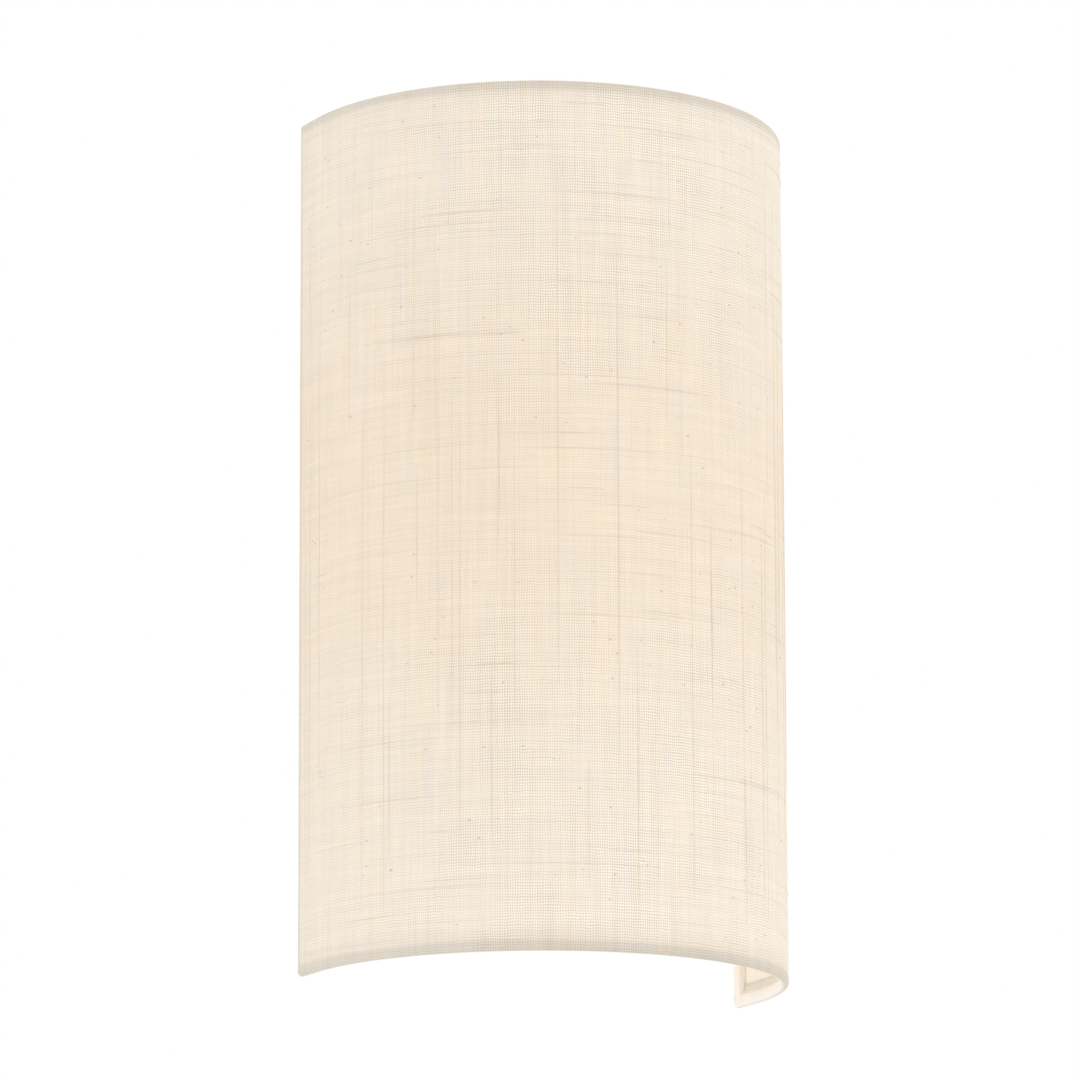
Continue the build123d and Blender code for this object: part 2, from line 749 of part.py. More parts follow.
def earth_lead():
    """Earth lead from the block down to the ring terminal."""
    way = barrel_direction()
    inside = barrel_start()
    knee = inside + way * (barrel_length + earth_reach)
    start = (pole_x(2), insert_y, block_bottom + lead_grip)
    below = (pole_x(2), insert_y, block_bottom - earth_drop)
    points = [start, below, (knee.X, knee.Y, knee.Z), (inside.X, inside.Y, inside.Z)]
    return swept(points, [earth_bend, earth_bend])


# ---------------------------------------------------------------- live and neutral leads

def lamp_lead(pole, side):
    """Lead from a pole, through the bush, round under the bracket and up the nipple."""
    x = side * lead_spacing / 2
    fan_top = block_bottom - lead_fan_start
    fan_end = fan_top - lead_fan_length
    points = [
        (pole_x(pole), insert_y, block_bottom + lead_grip),
        (pole_x(pole), insert_y, fan_top),
        (x, insert_y, fan_end),
        (x, insert_y, lead_loop_z),
        (x, -lamp_y, lead_loop_z),
        (x, -lamp_y, insulator_top - insulator_height + lead_end),
    ]
    loop = (lamp_y + insert_y) / 2 * loop_fill
    return swept(points, [lead_bend, lead_bend, loop, loop])


# ---------------------------------------------------------------- lampholder

def nipple():
    """Hollow threaded tube that clamps the lampholder to the shelf."""
    low = shelf_under - locknut_height - nipple_tail
    turns = int((nipple_top - low) / nipple_pitch)
    outer = nipple_diameter / 2
    outside = ribbed(outer, nipple_thread, low, nipple_pitch, turns)
    bore = nipple_bore / 2
    profile = [(bore, low)] + outside + [(bore, low + turns * nipple_pitch)]
    return lamp_axis * turned(profile)


def locknut():
    """Hexagon nut under the shelf."""
    nut = hex_nut(locknut_flats, locknut_height, nipple_diameter)
    return lamp_axis * Pos(0, 0, shelf_under - locknut_height) * nut


def holder_cap():
    """Lower cup of the lampholder, clamped to the shelf by the nipple."""
    outer = holder_diameter / 2
    hole = nipple_diameter / 2
    floor_z = shelf_z + holder_cap_floor
    profile = [
        (hole, shelf_z),
        (holder_base_diameter / 2, shelf_z),
        (outer, floor_z),
        (outer, cap_top_z),
        (cup_radius, cap_top_z),
        (cup_radius, floor_z),
        (hole, floor_z),
    ]
    return lamp_axis * turned(profile)


def holder_insulator():
    """Porcelain disc in the cup: it carries the contacts and takes the lead ends."""
    radius = cup_radius - holder_fit
    low = insulator_top - insulator_height
    profile = [
        (0, low),
        (radius - insulator_step, low),
        (radius, low + insulator_step),
        (radius, insulator_top),
        (0, insulator_top),
    ]
    disc = turned(profile)
    socket = Cylinder(lead / 2 + shell_fit, 2 * lead_socket)
    for side in (-1, 1):
        disc -= Pos(side * lead_spacing / 2, 0, low) * socket
    return lamp_axis * disc


def shell_radius():
    """Inner radius of the screw shell at its crests."""
    return cap_thread / 2 + shell_clearance


def holder_body():
    """Upper skirt of the lampholder, round the screw shell."""
    outer = holder_diameter / 2
    mouth = cap_collar / 2 + mouth_clearance
    plug = cup_radius - holder_fit
    seat = shell_radius() + cap_depth + shell_wall + shell_fit
    shell_top = insulator_top + shell_height + shell_top_gap
    profile = [
        (seat, insulator_top),
        (plug, insulator_top),
        (plug, cap_top_z),
        (outer, cap_top_z),
        (outer, holder_top - holder_rim),
        (outer - holder_rim, holder_top),
        (mouth, holder_top),
        (mouth, shell_top),
        (seat, shell_top),
    ]
    return lamp_axis * turned(profile)


def holder_shell():
    """Rolled screw shell, standing on the insulator."""
    crest = shell_radius()
    turns = int((shell_height - shell_foot) / cap_pitch)
    low = insulator_top + shell_height - turns * cap_pitch
    inside = [(crest, insulator_top)] + ribbed(crest + cap_depth, cap_depth, low, cap_pitch, turns)
    outside = [(r + shell_wall, z) for r, z in reversed(inside)]
    return lamp_axis * turned(inside + outside)


def holder_contact():
    """Sprung brass tongue under the lamp's tip."""
    foot = contact_foot
    half = contact_thickness / 2
    base = insulator_top + half
    crest = tip_z - contact_gap - half
    free_end = (0, foot / 2, crest - contact_drop)
    path = Polyline((0, foot / 2, base), (0, -foot / 2, base), (0, 0, crest), free_end)
    start = Plane(origin=path @ 0, x_dir=(1, 0, 0), z_dir=(0, -1, 0))
    section = start * Rectangle(contact_width, contact_thickness)
    tongue = sweep(section, path=path, transition=Transition.RIGHT)
    return lamp_axis * tongue


# ---------------------------------------------------------------- lamp

def lamp_tip():
    """Solder-domed contact at the lamp's end."""
    profile = [(0, tip_z), (cap_tip_flat / 2, tip_z), (cap_tip / 2, glass_z), (0, glass_z)]
    return lamp_axis * turned(profile)


def lamp_glass():
    """Dark insulator between the tip and the cap's thread."""
    low = cap_tip / 2 + cap_glass_step
    high = cap_thread / 2 - cap_depth - cap_glass_step
    profile = [(0, glass_z), (low, glass_z), (high, cap_z), (0, cap_z)]
    return lamp_axis * turned(profile)


def lamp_cap():
    """Screw cap with a rolled thread and a flared collar."""
    outside = ribbed(cap_thread / 2, cap_depth, cap_z, cap_pitch, cap_turns)
    collar = cap_collar / 2
    inner = cap_thread / 2 - cap_depth - cap_wall
    profile = [(inner, cap_z)] + outside
    profile += [(collar, housing_z), (inner, housing_z)]
    return lamp_axis * turned(profile)


def lamp_housing():
    """Moulded collar between the cap and the globe, tapering out to the globe."""
    low = cap_collar / 2
    high = housing_top / 2
    profile = [
        (0, housing_z),
        (low, housing_z),
        (waist_diameter / 2, housing_z + waist_height),
        (high, globe_z - housing_rim),
        (high, globe_z),
        (high - housing_wall, globe_z),
        (high - housing_wall, globe_z - housing_wall),
        (0, globe_z - housing_wall),
    ]
    return lamp_axis * turned(profile)


def lamp_globe():
    """Opal globe, open where it sits on the housing."""
    outer = globe_diameter / 2
    globe = Sphere(outer) - Sphere(outer - globe_wall)
    below = Pos(0, 0, globe_z - globe_centre - outer) * Box(4 * outer, 4 * outer, 2 * outer)
    return lamp_axis * Pos(0, 0, globe_centre) * (globe - below)


def led_board():
    """Round board with a ring of light-emitting chips, on top of the housing."""
    middle = globe_z - housing_wall + board_thickness / 2
    board = Cylinder(board_diameter / 2, board_thickness)
    return lamp_axis * Pos(0, 0, middle) * board


def led_chips():
    """Light-emitting chips, evenly spaced on the board."""
    base = globe_z - housing_wall + board_thickness + chip_height / 2
    chip = Box(chip_size, chip_size, chip_height)
    chips = []
    for turn in range(chip_count):
        place = Rot(0, 0, 360 / chip_count * turn) * Pos(chip_circle / 2, 0, base)
        chips.append(lamp_axis * place * chip)
    return Compound(children=chips)


# ---------------------------------------------------------------- write the pieces

def build():
    """Makes every piece, by node name."""
    rings = [frame_ring(ring_z), frame_ring(-ring_z)]
    uprights = [frame_upright(-1, rings), frame_upright(1, rings)]
    return {
        "shade_fabric": shade_fabric(),
        "shade_liner": shade_liner(),
        "top_ring": rings[0],
        "bottom_ring": rings[1],
        "left_upright": uprights[0],
        "right_upright": uprights[1],
        "upper_crossbar": crossbar(strap_z, uprights),
        "lower_crossbar": crossbar(-strap_z, uprights),
        "retaining_washers": retaining_washers(),
        "upper_thumb_screw": thumb_screw(strap_z),
        "lower_thumb_screw": thumb_screw(-strap_z),
        "back_plate": back_plate(),
        "plate_standoffs": plate_standoffs(),
        "cable_grommet": cable_grommet(),
        "lamp_bracket": lamp_bracket(),
        "bracket_screws": bracket_screws(),
        "lead_bush": lead_bush(),
        "terminal_block": terminal_block(),
        "terminal_inserts": terminal_inserts(),
        "terminal_screws": terminal_screws(),
        "block_screws": block_screws(),
        "earth_stud": earth_stud(),
        "earth_washers": earth_washers(),
        "earth_nut": earth_nut(),
        "earth_terminal": earth_terminal(),
        "earth_lead": earth_lead(),
        "live_lead": lamp_lead(0, -1),
        "neutral_lead": lamp_lead(1, 1),
        "nipple": nipple(),
        "locknut": locknut(),
        "holder_cap": holder_cap(),
        "holder_insulator": holder_insulator(),
        "holder_body": holder_body(),
        "holder_shell": holder_shell(),
        "holder_contact": holder_contact(),
        "lamp_tip": lamp_tip(),
        "lamp_glass": lamp_glass(),
        "lamp_cap": lamp_cap(),
        "lamp_housing": lamp_housing(),
        "lamp_globe": lamp_globe(),
        "led_board": led_board(),
        "led_chips": led_chips(),
    }


os.makedirs("parts", exist_ok=True)
for name, piece in build().items():
    export_step(piece, f"parts/{name}.step")
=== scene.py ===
"""Half-round fabric wall light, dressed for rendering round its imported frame.

Lengths are in metres. X runs to the right as a person faces the light, -Y comes out
from the wall and +Z is up; the wall is the plane y = 0.
"""

import json
import logging
from collections.abc import Collection
from dataclasses import dataclass, field
from enum import Enum
from functools import cache, cached_property
from math import ceil, cos, exp, hypot, pi, radians, sin

import bmesh
import bpy
from bmesh.types import BMVert
from bpy.types import Material, Node, NodeSocket as Socket, NodeTree, Object
from mathutils import Matrix, Vector


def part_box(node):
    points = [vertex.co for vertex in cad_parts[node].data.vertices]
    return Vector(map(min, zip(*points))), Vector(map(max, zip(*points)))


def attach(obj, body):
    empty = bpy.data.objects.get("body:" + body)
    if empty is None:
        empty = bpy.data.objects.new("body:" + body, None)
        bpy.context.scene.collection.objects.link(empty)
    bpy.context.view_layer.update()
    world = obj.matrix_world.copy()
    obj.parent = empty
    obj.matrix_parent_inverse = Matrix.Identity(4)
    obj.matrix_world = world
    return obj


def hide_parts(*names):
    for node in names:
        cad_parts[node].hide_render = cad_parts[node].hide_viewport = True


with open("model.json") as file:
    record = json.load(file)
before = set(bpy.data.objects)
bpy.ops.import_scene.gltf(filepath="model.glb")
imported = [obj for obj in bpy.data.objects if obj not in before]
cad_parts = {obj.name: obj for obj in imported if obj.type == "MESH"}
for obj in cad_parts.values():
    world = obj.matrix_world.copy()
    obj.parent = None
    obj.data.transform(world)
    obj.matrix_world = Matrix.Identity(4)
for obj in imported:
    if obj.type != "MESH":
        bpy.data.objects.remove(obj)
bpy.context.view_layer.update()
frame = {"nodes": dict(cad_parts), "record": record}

MM = 0.001
CLOTH_MAP = "cloth"
LOG = logging.getLogger("wall_light")
Colour = tuple[float, float, float]
Span = tuple[float, float, float, float]  # from, to, and the values at both, for Tree.ramp
Layer = tuple[float, float, float]  # from, to, and the share of light left behind it
Value = Socket | float | Colour
Path = list[tuple[float, float, float]]
Row = list[BMVert]


def clamped(value: float) -> float:
    """Keeps a value between 0 and 1."""
    return min(1.0, max(0.0, value))


def add_object(name: str, data: bpy.types.ID) -> Object:
    """Makes an object and puts it in the scene.

    Args:
        name: the object's name.
        data: its mesh, light or camera.

    Returns:
        The object.
    """
    made = bpy.data.objects.new(name, data)
    bpy.context.collection.objects.link(made)
    return made


# ------------------------ node helpers

class Tree:
    """A node tree with short calls for adding and joining nodes."""

    def __init__(self, tree: NodeTree) -> None:
        """Keeps the tree that the calls work on."""
        self.tree = tree

    def add(self, kind: str, settings: dict | None = None, **sockets: Value) -> Node:
        """Adds a node.

        Args:
            kind: the node's type name.
            settings: attributes to set on the node before its sockets.
            sockets: values or output sockets, keyed by input name or as i0, i1, ...

        Returns:
            The new node.
        """
        node = self.tree.nodes.new(kind)
        for name, value in (settings or {}).items():
            setattr(node, name, value)
        self.fill(node, **sockets)
        return node

    def fill(self, node: Node, **sockets: Value) -> None:
        """Joins or writes a node's inputs.

        Args:
            node: the node.
            sockets: values or output sockets, keyed by input name or as i0, i1, ...
        """
        for name, value in sockets.items():
            socket = node.inputs[int(name[1:]) if name[1:].isdigit() else name.replace("_", " ")]
            if isinstance(value, Socket):
                self.tree.links.new(value, socket)
            else:
                socket.default_value = value

    def math(self, operation: str, *values: Value, clamp: bool = False) -> Socket:
        """Adds a Math node for an operation on some values, and returns its result."""
        named = {f"i{index}": value for index, value in enumerate(values)}
        return self.add("ShaderNodeMath", {"operation": operation, "use_clamp": clamp}, **named).outputs[0]

    def plus(self, first: Value, second: Value) -> Socket:
        """Adds two values."""
        return self.math("ADD", first, second)

    def minus(self, first: Value, second: Value) -> Socket:
        """Takes the second value from the first."""
        return self.math("SUBTRACT", first, second)

    def times(self, product: Value, *values: Value) -> Socket:
        """Multiplies two or more values.

        Args:
            product: the first value.
            values: the others.

        Returns:
            The product.
        """
        for value in values:
            product = self.math("MULTIPLY", product, value)
        return product

    def vector(self, x: Value, y: Value, z: Value) -> Socket:
        """Combines three values into a vector."""
        return self.add("ShaderNodeCombineXYZ", X=x, Y=y, Z=z).outputs[0]

    def split(self, vector: Socket) -> list[Socket]:
        """Returns a vector's X, Y and Z."""
        return list(self.add("ShaderNodeSeparateXYZ", Vector=vector).outputs)

    @cached_property
    def place(self) -> Socket:
        """The object's own coordinates."""
        return self.add("ShaderNodeTexCoord").outputs["Object"]

    @cached_property
    def xyz(self) -> list[Socket]:
        """The object's own X, Y and Z."""
        return self.split(self.place)

    @cached_property
    def given(self) -> dict[str, Socket]:
        """The inputs of a node group, by name."""
        return {socket.name: socket for socket in self.add("NodeGroupInput").outputs}

    def noise(self, vector: Socket, scale: float, detail: float = 2.0) -> Socket:
        """Adds a noise texture and returns its value, which is about 0.5 on average."""
        return self.add("ShaderNodeTexNoise", Vector=vector, Scale=scale, Detail=detail).outputs[0]

    def ramp(self, value: Socket, low: float, high: float, to_low: float = 0, to_high: float = 1) -> Socket:
        """Maps a value from one range to another, clamped."""
        named = {"i0": value, "i1": low, "i2": high, "i3": to_low, "i4": to_high}
        return self.add("ShaderNodeMapRange", {"clamp": True}, **named).outputs[0]

    def scaled(self, colour: Value, share: Value) -> Socket:
        """Makes a colour brighter or darker."""
        return self.add("ShaderNodeVectorMath", {"operation": "SCALE"}, i0=colour, Scale=share).outputs[0]

    def mix(self, share: Value, first: Value, second: Value) -> Socket:
        """Mixes two colours by the share of the second."""
        first, second = (value if isinstance(value, Socket) else (*value, 1.0) for value in (first, second))
        return self.add("ShaderNodeMix", {"data_type": "RGBA"}, i0=share, i6=first, i7=second).outputs[2]

    def group(self, tree: NodeTree, **sockets: Value) -> Node:
        """Places a node group."""
        return self.add("ShaderNodeGroup", {"node_tree": tree}, **sockets)

    def bump(self, shader: Node, height: Socket, strength: float, depth: float) -> None:
        """Gives a shader a bump of a strength and depth from a height."""
        node = self.add("ShaderNodeBump", Strength=strength, Distance=depth, Height=height)
        self.fill(shader, Normal=node.outputs[0])


def new_group(name: str, inputs: dict[str, float], outputs: tuple[str, ...]) -> Tree:
    """Makes a shader node group that takes a vector and some values.

    Args:
        name: the group's name.
        inputs: names and defaults of the values.
        outputs: names of the outputs, which are all plain values.

    Returns:
        The group's Tree.
    """
    tree = bpy.data.node_groups.new(name, "ShaderNodeTree")
    tree.interface.new_socket("Vector", in_out="INPUT", socket_type="NodeSocketVector")
    for label, value in inputs.items():
        tree.interface.new_socket(label, in_out="INPUT", socket_type="NodeSocketFloat").default_value = value
    for label in outputs:
        tree.interface.new_socket(label, in_out="OUTPUT", socket_type="NodeSocketFloat")
    return Tree(tree)


def grain_group() -> NodeTree:
    """Builds fine surface grain.

    Returns:
        The group: a tone of about 1, a height and a roughness change.
    """
    work = new_group("Grain", {"Scale": 900.0, "Strength": 0.05}, ("Tone", "Height", "Rough"))
    given = work.given
    fine = work.add("ShaderNodeTexNoise", Vector=given["Vector"], Scale=given["Scale"]).outputs[0]
    broad = work.noise(given["Vector"], scale=35.0, detail=3.0)
    off = work.times(work.minus(work.plus(fine, broad), 1.0), given["Strength"])
    work.add("NodeGroupOutput", Tone=work.plus(off, 1.0), Height=fine, Rough=work.times(off, 2.0))
    return work.tree


def wear_group() -> NodeTree:
    """Builds the wear of edges, broken up by noise.

    Returns:
        The group: a mask of what is worn.
    """
    work = new_group("Edge wear", {"Amount": 0.5}, ("Mask",))
    flat = work.add("ShaderNodeNewGeometry").outputs["Normal"]
    rounded = work.add("ShaderNodeBevel", {"samples": 4}, Radius=0.4 * MM).outputs[0]
    same = work.add("ShaderNodeVectorMath", {"operation": "DOT_PRODUCT"}, i0=flat, i1=rounded)
    sharp = work.ramp(same.outputs["Value"], low=0.995, high=0.9)
    broken = work.ramp(work.noise(work.given["Vector"], scale=700.0, detail=4.0), low=0.42, high=0.6)
    work.add("NodeGroupOutput", Mask=work.times(sharp, broken, work.given["Amount"]))
    return work.tree


def dust_group() -> NodeTree:
    """Builds the dust that settles on faces that look up.

    Returns:
        The group: a mask of the dust.
    """
    work = new_group("Dust", {"Amount": 0.3}, ("Mask",))
    up = work.split(work.add("ShaderNodeNewGeometry").outputs["Normal"])[2]
    flat = work.ramp(up, low=0.55, high=1.0)
    patchy = work.ramp(work.noise(work.given["Vector"], scale=60.0, detail=5.0), low=0.3, high=0.8)
    work.add("NodeGroupOutput", Mask=work.times(flat, patchy, work.given["Amount"]))
    return work.tree


def weave_group() -> NodeTree:
    """Builds a plain weave on a UV map in metres, with threads of uneven tone.

    Returns:
        The group: the height, the pinholes between threads, the tone of the two threads
        together and a mask of the thicker threads.
    """
    pitches = {"Warp Pitch": 0.8 * MM, "Weft Pitch": 0.9 * MM, "Waviness": 0.5}
    work = new_group("Weave", pitches, ("Height", "Pinhole", "Tone", "Slub"))
    given = work.given
    lane_step = 13.73  # between neighbours' places in the noise, so that threads differ
    tone_drift, slub_drift, slub_seed = 0.021, 0.013, 40.0
    thread_lift, thread_rest = 0.35, 0.65
    u, v, _ = work.split(given["Vector"])
    bend = work.noise(given["Vector"], scale=220.0, detail=1.0)
    wave = work.times(work.minus(bend, 0.5), given["Waviness"])
    count_u = work.plus(work.math("DIVIDE", u, given["Warp Pitch"]), wave)
    count_v = work.plus(work.math("DIVIDE", v, given["Weft Pitch"]), wave)
    profiles, tones, slubs, crossings = [], [], [], []
    for across, along, seed in ((count_u, count_v, 3.7), (count_v, count_u, 61.3)):
        index = work.math("FLOOR", across)
        offset = work.minus(work.math("FRACT", across), 0.5)
        profiles.append(work.math("COSINE", work.times(offset, pi)))
        spread = work.times(index, lane_step)
        lane = work.vector(spread, work.times(along, tone_drift), seed)
        tones.append(work.noise(lane, scale=1.0))
        rare = work.vector(spread, work.times(along, slub_drift), seed + slub_seed)
        slubs.append(work.ramp(work.noise(rare, scale=1.0, detail=1.0), low=0.61, high=0.78))
        odd = work.minus(1.0, work.times(work.math("MODULO", index, 2.0), 2.0))
        crossings.append(work.times(work.math("COSINE", work.times(along, pi)), odd))
    over = work.math("MULTIPLY_ADD", crossings[0], thread_lift, thread_rest)
    under = work.math("MULTIPLY_ADD", crossings[1], -thread_lift, thread_rest)
    threads = work.math("MAXIMUM", work.times(profiles[0], over), work.times(profiles[1], under))
    gap = work.times(work.minus(1.0, profiles[0]), work.minus(1.0, profiles[1]))
    work.add(
        "NodeGroupOutput", Height=threads, Pinhole=work.math("POWER", gap, 0.5), Tone=work.plus(*tones),
        Slub=work.math("MAXIMUM", *slubs),
    )
    return work.tree


GROUPS = {"grain": grain_group(), "wear": wear_group(), "dust": dust_group(), "weave": weave_group()}


def new_material(name: str) -> tuple[Material, Tree, Node]:
    """Makes a material, or empties the frame's own of that name.

    Args:
        name: the material's name.

    Returns:
        The material, its Tree and its Principled shader.
    """
    material = bpy.data.materials.get(name) or bpy.data.materials.new(name)
    material.use_nodes = True
    material.node_tree.nodes.clear()
    work = Tree(material.node_tree)
    shader = work.add("ShaderNodeBsdfPrincipled")
    work.add("ShaderNodeOutputMaterial", Surface=shader.outputs[0])
    return material, work, shader


def grained(work: Tree, colour: Colour, scale: float, strength: float) -> tuple[Socket, dict]:
    """Puts fine grain in a colour, and returns it with the grain's own sockets by name."""
    grain = work.group(GROUPS["grain"], Vector=work.place, Scale=scale, Strength=strength).outputs
    return work.scaled(colour, grain["Tone"]), grain


# ------------------------ finishes

@dataclass(frozen=True)
class Finish:
    """A plain finish with grain, edge wear and a little dust."""

    name: str
    colour: Colour
    rough: float = 0.5
    metal: float = 0.0
    grain_scale: float = 900.0
    grain: float = 0.05
    bump: float = 0.02
    bump_depth: float = 0.1 * MM
    worn: Colour = (0.6, 0.6, 0.6)
    wear: float = 0.3
    dust: float = 0.12
    dust_colour: Colour = (0.62, 0.59, 0.54)
    dust_rough: float = 0.4
    coat: float = 0.0
    stripe: Colour | None = None
    stripe_wave: float = 620.0  # radians of the stripes' wave in a metre of depth
    stripe_edge: tuple[float, float] = (0.1, 0.25)

    def build(self) -> Material:
        """Builds the material from its values, with stripes by depth where it has them.

        Returns:
            The material.
        """
        material, work, shader = new_material(self.name)
        colour, grain = grained(work, self.colour, self.grain_scale, self.grain)
        if self.stripe:
            wave = work.math("SINE", work.times(work.xyz[1], self.stripe_wave))
            colour = work.mix(work.ramp(wave, *self.stripe_edge), colour, self.stripe)
        worn = work.group(GROUPS["wear"], Vector=work.place, Amount=self.wear).outputs[0]
        dusty = work.group(GROUPS["dust"], Vector=work.place, Amount=self.dust).outputs[0]
        colour = work.mix(dusty, work.mix(worn, colour, self.worn), self.dust_colour)
        rough = work.math("MULTIPLY_ADD", dusty, self.dust_rough, work.plus(grain["Rough"], self.rough))
        work.fill(shader, Base_Color=colour, Roughness=rough, Coat_Weight=self.coat)
        if self.metal:
            work.fill(shader, Metallic=work.math("SUBTRACT", self.metal, dusty, clamp=True))
        work.bump(shader, grain["Height"], self.bump, self.bump_depth)
        return material


@dataclass(frozen=True)
class Opal:
    """Lit opal globe."""

    name: str = "opal"
    colour: Colour = (0.95, 0.92, 0.86)
    light: Colour = (1.0, 0.83, 0.62)
    strength: float = 1.8
    crown: Span = (-5.0 * MM, 20.0 * MM, 0.65, 1.0)
    cloud_scale: float = 60.0
    cloud_depth: float = 0.12
    cloud_low: float = 0.94
    grain_scale: float = 1500.0
    grain: float = 0.02
    rough: float = 0.22

    def build(self) -> Material:
        """Builds the globe's material: bright at the crown and softer by the housing.

        Returns:
            The material.
        """
        material, work, shader = new_material(self.name)
        crown = work.ramp(work.xyz[2], *self.crown)
        noise = work.noise(work.place, self.cloud_scale, detail=3.0)
        cloud = work.math("MULTIPLY_ADD", noise, self.cloud_depth, self.cloud_low)
        glow = work.scaled(self.light, work.times(crown, cloud))
        colour, _ = grained(work, self.colour, self.grain_scale, self.grain)
        work.fill(shader, Base_Color=colour, Roughness=self.rough)
        work.fill(shader, Emission_Color=glow, Emission_Strength=self.strength)
        return material


@dataclass(frozen=True)
class Streaks:
    """Faint streaks of yarn of another tint, stretched along the cloth by two noise scales."""

    scale_u: float
    scale_v: float
    seed: float
    tint: Colour
    most: float


@dataclass(frozen=True)
class Linen:
    """Natural linen lit from inside, with the lamp's light painted on: weave, slubs, tints, and the lamp's
    patch of warmer light painted into its colour and glow.
    """

    name: str = "linen"
    cool: Colour = (0.795, 0.755, 0.680)
    lamp_lit_colour: Colour = (0.765, 0.668, 0.545)
    thread: Colour = (0.60, 0.52, 0.43)
    # painted glow of the lamp's light through the cloth, outside and on its inner side
    glow: Colour = (1.0, 0.82, 0.62)
    glow_inside: Colour = (0.95, 0.93, 0.93)
    glow_strength: float = 0.17
    inside_level: float = 1.8
    inside_calm: float = 0.8
    rough: float = 0.92
    sheen: float = 0.08
    bump: float = 0.3
    bump_depth: float = 0.1 * MM
    # the cloth's own places
    half_width: float = 86.0 * MM
    half_height: float = 150.0 * MM
    arc_y: float = -13.5 * MM
    inner_side: tuple[float, float] = (-2.8 * MM, -0.8 * MM)
    # the lamp's light, by height from the lamp and lower down the shade
    lamp_z: float = 10.0 * MM
    glow_reach: float = 105.0 * MM
    lamp_share: float = 0.15
    low_lift: Span = (0.0, -110.0 * MM, 0.0, 0.1)
    # what stands behind the cloth: from and to, in from a rim or in depth, and the light left
    rim_layers: tuple[Layer, ...] = ((-8.5 * MM, -7.5 * MM, 0.88), (-4.2 * MM, -2.6 * MM, 0.12))
    side_layers: tuple[Layer, ...] = ((-13.5 * MM, -12.5 * MM, 0.9), (-4.0 * MM, -2.8 * MM, 0.3))
    # painted shade on the rolled rims, which stands in for the light that their wires block and for the
    # shadow under the rolls; its band is 2 mm wider on the lower one
    rim_painted_shade: Colour = (0.925, 0.90, 0.865)
    rim_from: float = 6.5 * MM
    rim_full: float = 1.5 * MM
    rim_sideways: Span = (35.0 * MM, 80.0 * MM, 1.0, 0.4)
    rim_inside: float = 0.6
    lower_rim: Span = (0.0, -1.0 * MM, 0.0, 2.0 * MM)
    # the weave's own pattern, with its pinholes painted lighter as the lamp's light showing through; quieter
    # by the lamp and towards the sides
    warp_pitch: float = 0.84 * MM
    weft_pitch: float = 0.94 * MM
    waviness: float = 1.1
    weave_contrast: float = 0.42
    weave_middle: float = 0.32
    weave_sideways: Span = (48.0 * MM, 82.0 * MM, 1.0, 0.45)
    quiet_reach: float = 38.0 * MM
    quiet_share: float = 0.6
    patch_scale: float = 48.0
    patches: Span = (0.36, 0.64, 0.55, 1.45)
    yarn_tones: Span = (0.7, 1.3, 0.955, 1.04)
    slub_share: float = 0.13
    streak_edge: tuple[float, float] = (0.48, 0.75)
    streaks: tuple[Streaks, ...] = (
        Streaks(38.0, 190.0, 2.0, (0.93, 0.74, 0.56), 0.18),
        Streaks(210.0, 30.0, 9.0, (0.68, 0.655, 0.63), 0.30),
        Streaks(30.0, 260.0, 17.0, (0.70, 0.66, 0.68), 0.18),
        Streaks(430.0, 11.0, 31.0, (0.86, 0.68, 0.48), 0.26),
    )

    def build(self) -> Material:
        """Puts the weave, the painted light, the tints and the rims' painted shade together.

        Returns:
            The cloth's material.
        """
        material, work, shader = new_material(self.name)
        cloth = work.add("ShaderNodeUVMap", {"uv_map": CLOTH_MAP}).outputs[0]
        weave = work.group(
            GROUPS["weave"], Vector=cloth, Warp_Pitch=self.warp_pitch, Weft_Pitch=self.weft_pitch,
            Waviness=self.waviness,
        ).outputs
        lit = self.lit_mask(work, self.glow_reach)
        through, inside = self.through(work, lit)
        tone = work.ramp(weave["Tone"], *self.yarn_tones)
        tone = work.plus(tone, self.lattice(work, cloth, weave["Pinhole"]))
        calm = work.times(inside, self.inside_calm)
        tone = work.plus(tone, work.times(work.minus(1.0, tone), calm))
        # the base colour is painted warmer where the lamp's light falls on the cloth
        colour = self.tint(work, cloth, work.mix(lit, self.cool, self.lamp_lit_colour))
        colour = self.paint_rim_shade(work, inside, work.scaled(colour, tone))
        colour = work.mix(work.times(weave["Slub"], self.slub_share), colour, self.thread)
        # the cloth's emission is painted lamp light showing through it, with none at the wires and more on
        # the inner side
        glow = work.scaled(work.mix(inside, self.glow, self.glow_inside), work.times(through, tone))
        work.fill(
            shader, Base_Color=colour, Emission_Color=glow, Emission_Strength=self.glow_strength,
            Roughness=self.rough, Sheen_Weight=self.sheen,
        )
        work.bump(shader, weave["Height"], self.bump, self.bump_depth)
        return material

    def lit_mask(self, work: Tree, reach: float) -> Socket:
        """Share of the lamp's light on the cloth, which falls off over a reach of height from the lamp."""
        away = work.math("DIVIDE", work.minus(work.xyz[2], self.lamp_z), reach)
        return work.math("EXPONENT", work.times(away, away, -1.0))

    def lattice(self, work: Tree, cloth: Socket, pinhole: Socket) -> Socket:
        """Light and dark of the open weave, in patches: the weave's own pattern, with the pinholes painted
        lighter as lamp light showing through them.

        Args:
            work: the material's tree.
            cloth: the place on the flat cloth.
            pinhole: the weave's pinholes.

        Returns:
            What is added to the cloth's tone.
        """
        near = self.lit_mask(work, self.quiet_reach)
        quiet = work.math("MULTIPLY_ADD", near, -self.quiet_share, 1.0)
        ahead = work.ramp(work.math("ABSOLUTE", work.xyz[0]), *self.weave_sideways)
        patchy = work.ramp(work.noise(cloth, self.patch_scale, detail=4.0), *self.patches)
        strength = work.times(quiet, ahead, self.weave_contrast, patchy)
        return work.times(work.minus(pinhole, self.weave_middle), strength)

